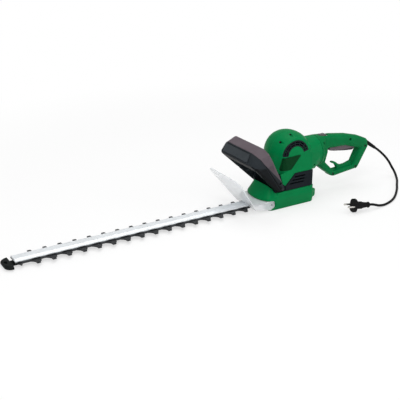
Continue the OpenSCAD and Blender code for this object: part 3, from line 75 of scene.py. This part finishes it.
def add_object(name, bm, smooth=True):
    me = bpy.data.meshes.new(name)
    bm.normal_update()
    bm.to_mesh(me)
    bm.free()
    if smooth:
        me.shade_smooth()
    return place(name, me)


def spline(points, first, last, steps):
    """Smooth curve through the points, with the given end directions."""
    out = []
    end = len(points) - 2
    for i in range(len(points) - 1):
        a, b = points[i], points[i + 1]
        reach = (b - a).length
        leave = (first if i == 0 else (b - points[i - 1]).normalized()) * reach
        arrive = (last if i == end else (points[i + 2] - a).normalized()) * reach
        for k in range(steps):
            u = k / steps
            out.append((2 * u**3 - 3 * u**2 + 1) * a + (u**3 - 2 * u**2 + u) * leave
                       + (3 * u**2 - 2 * u**3) * b + (u**3 - u**2) * arrive)
    out.append(points[-1])
    return out


def tube(name, path, radii, sides):
    """Closed tube along a path, with one radius a ring."""
    bm = bmesh.new()
    rings = []
    last = len(path) - 1
    for i, (p, radius) in enumerate(zip(path, radii)):
        along = (path[min(i + 1, last)] - path[max(i - 1, 0)]).normalized()
        u = Vector((0, 0, 1)).cross(along)
        # Where the path stands upright, any level direction will do
        u = u.normalized() if u.length > 1e-4 else Vector((1, 0, 0))
        v = along.cross(u)
        rings.append([bm.verts.new(p + radius * (math.cos(a) * u + math.sin(a) * v))
                      for a in (2 * math.pi * k / sides for k in range(sides))])
    for a, b in zip(rings, rings[1:]):
        for k in range(sides):
            m = (k + 1) % sides
            bm.faces.new((a[k], a[m], b[m], b[k]))
    bm.faces.new(list(reversed(rings[0])))
    bm.faces.new(rings[-1])
    return add_object(name, bm)


# ------------------------------------------------------------------ camera and cord

# Solved from the photograph; the frame's unit is the metre
CAMERA_AT = (-1.174, -1.540, 0.795)
CAMERA_LOOK = (0.4777, 0.7915, -0.3812)
LENS_MM = 72.3
SENSOR_MM = 36
CLIP_END = 60


def make_camera():
    cam = place("camera", bpy.data.cameras.new("camera"))
    cam.location = CAMERA_AT
    cam.rotation_euler = aimed(CAMERA_LOOK)
    cam.data.lens = LENS_MM
    cam.data.sensor_width = SENSOR_MM
    cam.data.clip_end = CLIP_END
    bpy.context.scene.camera = cam


make_camera()

# Seam of the swivel, height of its axis and length of the rear handle, as in the CAD source
SEAM_X = 0.098
SWIVEL_Z = 0.121
HANDLE_L = 0.181
HANDLE_END_X = SEAM_X + HANDLE_L

CORD_D = 0.0065
CORD_R = CORD_D / 2
CORD_FLOOR_GAP = 0.0001
CORD_STEPS = 5
CORD_SIDES = 16

# The cord's route in mm, with x from the handle's end, as in the CAD source
CORD_ROUTE = [
    (34.5, 0, 90), (47, 0, 81.5), (61, -1, 70), (75, -2, 57), (87, -5, 42), (94, -11, 27),
    (97, -21, 14), (91, -35, 6), (80, -50, 3.5), (66, -65, 3.5), (51, -80, 3.5), (37, -95, 3.5),
    (18, -113, 3.5), (-3, -131, 3.5), (-25, -147, 3.5), (-49, -159, 3.5), (-75, -166, 3.5),
    (-95, -168, 6.5), (-107, -168, 10.5), (-117.7, -166.9, 13.7), (-127.5, -165.2, 14.7)]
CORD_POINTS = [Vector((HANDLE_END_X + x / 1000, y / 1000, z / 1000)) for x, y, z in CORD_ROUTE]

# The strain relief's axis runs from its root in the handle to the cord's first point
RELIEF_ROOT = Vector((HANDLE_END_X - 0.007, 0, SWIVEL_Z - 0.003))
RELIEF_AXIS = (CORD_POINTS[0] - RELIEF_ROOT).normalized()
RELIEF_REACH = (CORD_POINTS[0] - RELIEF_ROOT).length
PLUG_DIR = Vector((-0.980343, 0.170060, 0.100035)).normalized()


def make_cord():
    path = spline(CORD_POINTS, RELIEF_AXIS, PLUG_DIR, CORD_STEPS)
    path = [Vector((p.x, p.y, max(p.z, CORD_R + CORD_FLOOR_GAP))) for p in path]
    length = sum((b - a).length for a, b in zip(path, path[1:]))
    ob = tube("cord_sheath", path, [CORD_R] * len(path), CORD_SIDES)
    return ob, path, length


cord, cord_path, cord_length = make_cord()


# ------------------------------------------------------------------ materials

def rgb(r, g, b):
    """Display colour, 0 to 255, as the linear values that shaders take."""
    def lin(c):
        c /= 255
        return c / 12.92 if c <= 0.04045 else ((c + 0.055) / 1.055) ** 2.4
    return (lin(r), lin(g), lin(b), 1)


def scaled(color, by, lift=0.0):
    """The colour times a number, plus a small lift."""
    return tuple(min(1, c * by + lift) for c in color[:3]) + (1,)


WHITE = (1, 1, 1, 1)
# Most of a noise texture's values lie between these
NOISE_LOW = 0.3
NOISE_HIGH = 0.7


class Nodes:
    """Adds nodes to a tree. A number or a colour is set on a socket, and an output is linked."""

    def __init__(self, tree):
        self.tree = tree

    def feed(self, socket, value):
        if isinstance(value, (tuple, float, int)):
            socket.default_value = value
        else:
            self.tree.links.new(value, socket)

    def add(self, kind, inputs=None, **settings):
        node = self.tree.nodes.new(kind)
        for key, value in settings.items():
            setattr(node, key, value)
        for key, value in (inputs or {}).items():
            self.feed(node.inputs[key], value)
        return node

    def remap(self, value, from_min, from_max, to_min, to_max, **settings):
        inputs = {"Value": value, "From Min": from_min, "From Max": from_max,
                  "To Min": to_min, "To Max": to_max}
        return self.add("ShaderNodeMapRange", inputs, **settings).outputs["Result"]


class Shader(Nodes):
    """One material in object coordinates, in metres, built on the Principled shader."""

    def __init__(self, name):
        self.mat = bpy.data.materials.new(name)
        self.mat.use_nodes = True
        super().__init__(self.mat.node_tree)
        self.bsdf = self.tree.nodes["Principled BSDF"]
        self.coords = self.add("ShaderNodeTexCoord").outputs["Object"]
        self.normal = None

    def noise(self, scale, detail=3, rough=0.6, stretch=None):
        at = self.coords
        if stretch:
            at = self.add("ShaderNodeMapping", {"Vector": at, "Scale": stretch}).outputs["Vector"]
        inputs = {"Vector": at, "Scale": scale, "Detail": detail, "Roughness": rough}
        return self.add("ShaderNodeTexNoise", inputs).outputs["Fac"]

    def mix(self, fac, a, b):
        # Sockets 0, 6 and 7 are the colour mix's factor, A and B; output 2 is its colour
        return self.add("ShaderNodeMix", {0: fac, 6: a, 7: b}, data_type="RGBA").outputs[2]

    def wander(self, noise, lo, hi):
        """The noise's usual range, spread from lo to hi."""
        return self.remap(noise, NOISE_LOW, NOISE_HIGH, lo, hi)

    def patches(self, a, b, scale=22, detail=4):
        """Colour that wanders between two in soft patches."""
        return self.mix(self.wander(self.noise(scale, detail), 0, 1), a, b)

    def scuffed(self, base, pale_tone, most):
        """The base colour with small scuffs that let at most this share of the pale colour show.
        """
        return self.mix(self.remap(self.noise(160, 5, 0.7), 0.62, 0.72, 0, most), base, pale_tone)

    def bump(self, height, strength, distance):
        inputs = {"Strength": strength, "Distance": distance, "Height": height}
        if self.normal is not None:
            inputs["Normal"] = self.normal
        self.normal = self.add("ShaderNodeBump", inputs).outputs["Normal"]

    def flow_marks(self):
        """Faint broad waves, as a moulding has."""
        self.bump(self.noise(60, 2, 0.5), strength=0.08, distance=0.0004)

    def axis(self, vector, name):
        return self.add("ShaderNodeSeparateXYZ", {0: vector}).outputs[name]

    def done(self, color, rough, metallic=0.0, **rest):
        """The finished material. Other sockets are named with _ in place of each space."""
        sockets = {"Base Color": color, "Roughness": rough, "Metallic": metallic}
        sockets.update((key.replace("_", " "), value) for key, value in rest.items())
        for key, value in sockets.items():
            self.feed(self.bsdf.inputs[key], value)
        if self.normal is not None:
            self.feed(self.bsdf.inputs["Normal"], self.normal)
        return self.mat


def plastic(name, color, rough=0.42, grain=1800, depth=0.00006, strength=0.25, vary=0.10):
    """Moulded plastic: eroded grain, faint flow marks, scuffs a little paler, and a painted
    highlight that makes outer edges a little paler.
    """
    s = Shader(name)
    # The pale tone serves the real scuffs and the painted edge highlight
    pale_tone = scaled(color, 1.2, 0.006)
    base = s.patches(scaled(color, 1 - vary), scaled(color, 1 + vary))
    base = s.scuffed(base, pale_tone, 0.22)
    # Pointiness is about 0.5 on flat faces and higher on outer edges; there the pale tone is
    # mixed in as a painted highlight
    edge = s.add("ShaderNodeNewGeometry").outputs["Pointiness"]
    base = s.mix(s.remap(edge, 0.52, 0.60, 0, 0.35), base, pale_tone)
    s.bump(s.noise(grain), strength, depth)
    s.flow_marks()
    roughness = s.wander(s.noise(90), rough - 0.05, rough + 0.07)
    return s.done(base, roughness, Specular_IOR_Level=0.06)


def metal(name, color, rough=0.30, stretch=(1, 40, 40), lines=300, vary=0.12, metallic=1.0):
    """Ground or drawn metal with fine lines along the axis that isn't stretched."""
    s = Shader(name)
    dark = scaled(color, 1 - vary)
    line = s.noise(lines, stretch=stretch)
    base = s.mix(s.wander(line, 0, 1), dark, scaled(color, 1 + vary))
    base = s.mix(s.remap(s.noise(30, 4), 0.45, 0.75, 0, 0.35), base, dark)
    s.bump(line, strength=0.25, distance=0.00003)
    return s.done(base, s.wander(s.noise(70), rough - 0.06, rough + 0.10), metallic)


EVEN = (1, 1, 1)
MATS = {
    "green": plastic("green_shell_grain", rgb(0, 121, 66), rough=0.36),
    "grip": plastic("green_grip_grain", rgb(0, 112, 60), rough=0.40, grain=1400, depth=0.0001,
                    strength=0.35),
    "bar": plastic("switch_bar_grain", rgb(60, 65, 69), rough=0.45),
    "vent": plastic("vent_grain", rgb(25, 31, 36), rough=0.46),
    "slider": plastic("slider_grain", rgb(104, 100, 101)),
    "label": plastic("label_print", rgb(2, 56, 25), rough=0.30, grain=2600, depth=0.00002,
                     strength=0.12, vary=0.05),
    "black": plastic("black_plastic_grain", rgb(26, 27, 28), rough=0.45),
    "tip": plastic("tip_guard_grain", rgb(24, 27, 27)),
    "rubber": plastic("rubber_grain", rgb(24, 24, 25), rough=0.55, grain=900, depth=0.00008,
                      vary=0.15),
    "cord": plastic("cord_sheath_grain", rgb(20, 20, 21), rough=0.38, grain=700, depth=0.00005,
                    vary=0.12),
    "base": metal("base_coat", rgb(92, 94, 96), rough=0.42, stretch=EVEN, lines=400, vary=0.08,
                  metallic=0.6),
    "steel": metal("ground_steel", rgb(170, 172, 175)),
    "dark_screw": metal("blackened_screw", rgb(58, 58, 60), rough=0.36, stretch=EVEN, lines=900,
                        vary=0.10, metallic=0.8),
    "screw": metal("zinc_screw", rgb(176, 178, 180), rough=0.28, stretch=EVEN, lines=900,
                   vary=0.10),
    "blade": metal("blade_steel_ground", rgb(58, 60, 62), rough=0.34, stretch=(1, 30, 30),
                   lines=260, vary=0.22, metallic=0.85),
    "support": metal("support_steel", rgb(92, 95, 98), rough=0.36, lines=260, vary=0.15,
                     metallic=0.9),
    "guide": metal("guide_bar_satin", rgb(238, 242, 245), rough=0.44, stretch=(1, 60, 60),
                   lines=240, vary=0.04, metallic=0.4),
    "pin": metal("pin_nickel", rgb(205, 203, 198), rough=0.20, stretch=(40, 1, 1), lines=400,
                 vary=0.05),
    "brass": metal("brass_machined", rgb(190, 158, 92)),
    "copper": metal("copper_wire", rgb(168, 100, 58), rough=0.36, stretch=(1, 1, 60), lines=700,
                    vary=0.20),
    "iron": metal("stacked_iron", rgb(120, 122, 124), rough=0.45, stretch=(1, 1, 400), lines=6,
                  vary=0.18, metallic=0.7),
    "yellow": plastic("capacitor_film", rgb(190, 158, 40), rough=0.30),
}


def clear_plastic():
    """Frosted clear guard: see-through face on, whiter along its edges."""
    s = Shader("clear_guard")
    s.bump(s.noise(260), strength=0.05, distance=0.0002)
    facing = s.add("ShaderNodeLayerWeight", {"Blend": 0.35}).outputs["Facing"]
    alpha = s.remap(facing, 0, 1, 0.42, 0.92)
    base = s.patches(rgb(240, 244, 248), rgb(249, 251, 253), scale=40, detail=3)
    rough = s.wander(s.noise(120), 0.12, 0.24)
    return s.done(base, rough, Alpha=alpha, Coat_Weight=0.4, Coat_Roughness=0.1)


MATS["clear"] = clear_plastic()

# The front handle's crease seen from the side: its upward normal, and its distance along it. The
# painted light on the hoop's top starts at this line.
CREASE_SIDE = (0.688, 0, 0.725)
CREASE_AT = 0.688 * -0.110 + 0.725 * 0.142
CREASE_BLUR = 0.0006


def hoop_plastic(name, painted_lit_top):
    """Front handle: dark slate. With a painted lit top, the back over the crease becomes a
    grey-violet painted highlight. Faces turned down get painted shade.
    """
    s = Shader(name)
    base = s.patches(rgb(40, 45, 49), rgb(47, 52, 56))
    # Painted highlight: past the crease line the slate is swapped for a grey-violet lit copy of
    # it
    if painted_lit_top:
        height = s.add("ShaderNodeVectorMath", {0: s.coords, 1: CREASE_SIDE},
                       operation="DOT_PRODUCT").outputs["Value"]
        painted_lit_share = s.remap(height, CREASE_AT - CREASE_BLUR, CREASE_AT + CREASE_BLUR, 0, 1)
        base = s.mix(painted_lit_share, base, s.patches(rgb(92, 83, 89), rgb(101, 92, 98)))
    # Painted shade: faces turned to the ground are darkened
    up = s.axis(s.add("ShaderNodeNewGeometry").outputs["Normal"], "Z")
    base = s.mix(s.remap(up, -0.05, -0.3, 0, 0.95), base, rgb(13, 15, 17))
    base = s.scuffed(base, rgb(70, 71, 74), 0.2)
    s.bump(s.noise(1500), strength=0.35, distance=0.0001)
    s.flow_marks()
    return s.done(base, s.wander(s.noise(90), 0.42, 0.54), Specular_IOR_Level=0.04)


# dark is the slate plastic; grey is the same plastic with a painted lit top
MATS["dark"] = hoop_plastic("dark_shell_grain", False)
MATS["grey"] = hoop_plastic("hoop_painted_lit_grain", True)

# Height of the trigger's dark band over its lowest point
TRIGGER_BAND = 0.0060
TRIGGER_BLUR = 0.0004


def trigger_plastic():
    """Trigger in two tones: a paler upper band and a darker lower band."""
    s = Shader("trigger_grain")
    lo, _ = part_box("trigger")
    edge_z = lo[2] + TRIGGER_BAND
    band = s.remap(s.axis(s.coords, "Z"), edge_z - TRIGGER_BLUR, edge_z + TRIGGER_BLUR, 0, 1)
    dark = s.mix(s.noise(60), rgb(44, 42, 46), rgb(56, 53, 57))
    pale = s.mix(s.noise(60), rgb(92, 82, 88), rgb(106, 96, 102))
    s.bump(s.noise(1500), strength=0.3, distance=0.00008)
    rough = s.wander(s.noise(90), 0.36, 0.48)
    return s.done(s.mix(band, dark, pale), rough, Specular_IOR_Level=0.15)


MATS["trigger"] = trigger_plastic()

NODE_MATERIAL = {
    "gear_case": "green", "base_plate": "base", "base_screws": "screw",
    "bearing_plate": "steel", "vent_collar": "vent", "motor_shell_left": "green",
    "motor_shell_right": "green", "shell_screws": "dark_screw", "label_plate": "label",
    "intake_grille_left": "vent", "intake_grille_right": "vent", "stator_core": "iron",
    "stator_windings": "copper", "brush_plate": "black", "brush_holders": "brass",
    "brushes": "rubber", "motor_bearings": "steel", "rotor_shaft": "steel",
    "armature": "iron", "commutator": "copper", "fan": "black", "pinion": "steel",
    "drive_gear": "steel", "gear_shaft": "steel", "eccentrics": "steel",
    "gear_bushes": "brass", "upper_blade": "blade", "lower_blade": "blade",
    "support_bar": "support", "guide_bar": "guide", "bar_screws": "screw",
    "blade_bolts": "screw", "blade_spacers": "steel", "tip_guard": "tip",
    "guard": "clear", "guard_screws": "screw", "front_handle_front": "dark",
    "front_handle_rear": "grey", "front_handle_screws": "dark_screw",
    "switch_bar": "bar", "switch_bar_springs": "steel", "front_switch": "black",
    "front_wires": "cord", "handle_shell_left": "grip", "handle_shell_right": "grip",
    "handle_screws": "dark_screw", "lock_slider": "slider", "lock_spring": "steel",
    "trigger": "trigger", "trigger_pin": "steel", "trigger_spring": "steel",
    "rear_switch": "black", "rear_plunger": "brass", "capacitor": "yellow",
    "handle_wires": "cord", "cord_clamp": "black", "strain_relief": "rubber",
    "power_cord": "cord", "plug_body": "rubber", "plug_pins": "pin"}


def dress(ob, mat):
    ob.data.materials.clear()
    ob.data.materials.append(mat)


for name, key in NODE_MATERIAL.items():
    for slot in nodes[name].material_slots:
        slot.material = MATS[key]


# ------------------------------------------------------------------ softened mouldings

WELD_DISTANCE = 1e-6
SMOOTH_FACTOR = 0.5
SMOOTH_PASSES = 4
KEEP_FACES = 0.5


def soften(node, name, voxel):
    """Copy of a CAD node with its sharp edges rounded, as a moulding tool leaves them."""
    ob = place("tmp_" + name, nodes[node].data.copy())
    weld = ob.modifiers.new("weld", "WELD")
    weld.merge_threshold = WELD_DISTANCE
    remesh = ob.modifiers.new("remesh", "REMESH")
    remesh.mode = "VOXEL"
    remesh.voxel_size = voxel
    even = ob.modifiers.new("even", "SMOOTH")
    even.factor = SMOOTH_FACTOR
    even.iterations = SMOOTH_PASSES
    thin = ob.modifiers.new("thin", "DECIMATE")
    thin.ratio = KEEP_FACES
    bpy.context.view_layer.update()
    shape = ob.evaluated_get(bpy.context.evaluated_depsgraph_get())
    new = place(name, bpy.data.meshes.new_from_object(shape))
    bpy.data.objects.remove(ob)
    new.data.shade_smooth()
    dress(new, MATS[NODE_MATERIAL[node]])
    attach(new, body_of[node])
    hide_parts(node)
    return new


# CAD node, name of its softened copy, and the voxel that sets how round its edges get
SOFT = [
    ("handle_shell_left", "grip_half_near", 0.0009),
    ("handle_shell_right", "grip_half_far", 0.0009),
    ("front_handle_front", "hoop_front_half", 0.0009),
    ("front_handle_rear", "hoop_rear_half", 0.0009),
    ("motor_shell_left", "housing_half_near", 0.0009),
    ("motor_shell_right", "housing_half_far", 0.0009),
    ("gear_case", "case_moulding", 0.0010),
    ("vent_collar", "collar_moulding", 0.0008),
    ("trigger", "trigger_moulding", 0.0005),
    ("lock_slider", "slider_moulding", 0.0004),
    ("switch_bar", "switch_bar_moulding", 0.0005),
    ("tip_guard", "tip_moulding", 0.0005),
    ("guard", "guard_moulding", 0.0006),
    ("plug_body", "plug_moulding", 0.0004)]

for node, name, voxel in SOFT:
    soften(node, name, voxel)

# The label's face stands just proud of the softened housing
LABEL_PROUD = 0.0004
proud = nodes["label_plate"].modifiers.new("proud", "DISPLACE")
proud.mid_level = 0
proud.strength = LABEL_PROUD


# ------------------------------------------------------------------ plug tail, strain relief

# Collar, ribs and step on the plug's tail: start along its axis, width and radius of each
PLUG_RINGS = [
    (0.0005, 0.0052, 0.0074), (0.0092, 0.0020, 0.0068), (0.0132, 0.0020, 0.0072),
    (0.0172, 0.0020, 0.0078), (0.0215, 0.0190, 0.0094)]
PLUG_RING_INNER = 0.0046
PLUG_RING_SIDES = 36
# A ring's rounded edge: distance from its side, and how far it lies under the ring's radius
PLUG_RING_EDGE = [(0.0001, 0.0009), (0.0006, 0.0003), (0.0012, 0)]


def make_plug_tail(end):
    """The rings on the plug's tail, which starts where the cord ends."""
    bm = bmesh.new()
    for at, width, radius in PLUG_RINGS:
        profile = [(0, PLUG_RING_INNER)]
        profile += [(d, radius - cut) for d, cut in PLUG_RING_EDGE]
        profile += [(width - d, radius - cut) for d, cut in reversed(PLUG_RING_EDGE)]
        profile.append((width, PLUG_RING_INNER))
        ring = tube("plug_ring", [end + PLUG_DIR * (at + d) for d, _ in profile],
                    [r for _, r in profile], PLUG_RING_SIDES)
        bm.from_mesh(ring.data)
        bpy.data.objects.remove(ring)
    return add_object("plug_tail", bm)


RELIEF_R = 0.0058
RELIEF_WALL = 0.0009
RELIEF_SIDES = 32
RELIEF_GROOVES = 7
GROOVE_DEPTH = 0.0009
# The grooved stretch starts this far from the root and ends this far before the tip
GROOVES_FROM = 0.010
GROOVES_BEFORE_TIP = 0.006
# Plain cone before the first groove
GROOVES_LEAD = 0.001
# Neck and collar inside the handle: distance along the axis and radius
RELIEF_COLLAR = [
    (-0.012, 0.0047), (-0.0072, 0.0047), (-0.0070, 0.0055), (-0.0041, 0.0055),
    (-0.0039, 0.0047), (-0.0003, 0.0047), (0.0, RELIEF_R)]
# One groove: share of its step, and depth
GROOVE = [(0.05, 0), (0.12, GROOVE_DEPTH), (0.40, GROOVE_DEPTH), (0.47, 0), (0.75, 0)]
# The rounded tip: distance before it, and depth
RELIEF_TIP_EDGE = [(0.0018, 0), (0.0006, 0.0003), (0.0002, 0.0008)]


def make_relief():
    """Rubber sleeve: a collar in the handle and a grooved cone round the cord."""
    start, stop = GROOVES_FROM, RELIEF_REACH - GROOVES_BEFORE_TIP
    step = (stop - start) / RELIEF_GROOVES

    def cone(d):
        return RELIEF_R + (CORD_R + RELIEF_WALL - RELIEF_R) * d / RELIEF_REACH

    profile = RELIEF_COLLAR + [(start - GROOVES_LEAD, cone(start - GROOVES_LEAD))]
    for i in range(RELIEF_GROOVES):
        for share, cut in GROOVE:
            d = start + (i + share) * step
            profile.append((d, cone(d) - cut))
    profile += [(RELIEF_REACH - d, cone(RELIEF_REACH) - cut) for d, cut in RELIEF_TIP_EDGE]
    path = [RELIEF_ROOT + RELIEF_AXIS * d for d, _ in profile]
    return tube("relief_sleeve", path, [r for _, r in profile], RELIEF_SIDES)


plug_tail = make_plug_tail(cord_path[-1])
dress(plug_tail, MATS["rubber"])
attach(plug_tail, body_of["plug_body"])

relief = make_relief()
dress(relief, MATS["rubber"])
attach(relief, "rear_handle")
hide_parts("strain_relief")

dress(cord, MATS["cord"])
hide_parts("power_cord")
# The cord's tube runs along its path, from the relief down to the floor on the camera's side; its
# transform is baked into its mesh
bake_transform(cord)


# ------------------------------------------------------------------ floor, world, lamps

FLOOR_R = 14
FLOOR_SIDES = 96
# Just under the part, so that the faces that rest on the floor don't flicker
FLOOR_Z = -0.0004
FLOOR_GREY = (0.93, 0.93, 0.93, 1)
# Share of plain white in the floor as it is seen: 0.62 within 0.65 m, rising to 1 at 1.35 m
FLOOR_FADE = (0.65, 1.35, 0.62, 1)
WORLD_LIGHT = 0.47


def make_floor():
    """White floor that keeps the part's shadow near it and is plain white further out."""
    bm = bmesh.new()
    bmesh.ops.create_circle(bm, cap_ends=True, radius=FLOOR_R, segments=FLOOR_SIDES)
    ob = add_object("floor", bm, smooth=False)
    ob.location.z = FLOOR_Z
    mat = bpy.data.materials.new("floor_white")
    mat.use_nodes = True
    mat.node_tree.nodes.clear()
    n = Nodes(mat.node_tree)
    coords = n.add("ShaderNodeTexCoord").outputs["Object"]
    away = n.add("ShaderNodeVectorMath", {0: coords}, operation="LENGTH").outputs["Value"]
    fade = n.remap(away, *FLOOR_FADE, interpolation_type="SMOOTHSTEP")
    rays = n.add("ShaderNodeLightPath").outputs
    seen = rays["Is Camera Ray"]
    for kind in ("Is Glossy Ray", "Is Transmission Ray"):
        seen = n.add("ShaderNodeMath", {0: seen, 1: rays[kind]}, operation="MAXIMUM").outputs[0]
    share = n.add("ShaderNodeMath", {0: seen, 1: fade}, operation="MULTIPLY").outputs[0]
    shade = n.add("ShaderNodeBsdfDiffuse", {"Color": FLOOR_GREY}).outputs[0]
    glow = n.add("ShaderNodeEmission", {"Color": WHITE, "Strength": 1}).outputs[0]
    surface = n.add("ShaderNodeMixShader", {0: share, 1: shade, 2: glow}).outputs[0]
    n.add("ShaderNodeOutputMaterial", {"Surface": surface})
    ob.data.materials.append(mat)


def make_world():
    """World that lights the part plainly and shows white behind it."""
    world = bpy.data.worlds.new("studio")
    bpy.context.scene.world = world
    world.use_nodes = True
    world.node_tree.nodes.clear()
    n = Nodes(world.node_tree)
    light = n.add("ShaderNodeBackground", {"Color": WHITE, "Strength": WORLD_LIGHT}).outputs[0]
    white = n.add("ShaderNodeBackground", {"Color": WHITE, "Strength": 1}).outputs[0]
    seen = n.add("ShaderNodeLightPath").outputs["Is Camera Ray"]
    surface = n.add("ShaderNodeMixShader", {0: seen, 1: light, 2: white}).outputs[0]
    n.add("ShaderNodeOutputWorld", {"Surface": surface})


def area(name, where, look, size, power):
    data = bpy.data.lights.new(name, "AREA")
    data.shape = "DISK"
    data.size = size
    data.energy = power
    ob = place(name, data)
    ob.location = where
    ob.rotation_euler = aimed(Vector(look) - Vector(where))


make_floor()
make_world()
area("key", where=(-1.6, -1.6, 2.6), look=(-0.1, 0, 0.1), size=1.8, power=39)
area("top", where=(0.3, 0.4, 3.0), look=(0, 0, 0), size=2.4, power=34)
area("fill", where=(1.9, -1.9, 1.2), look=(0, 0, 0.1), size=1.6, power=13)

bpy.context.scene.view_settings.view_transform = "Standard"
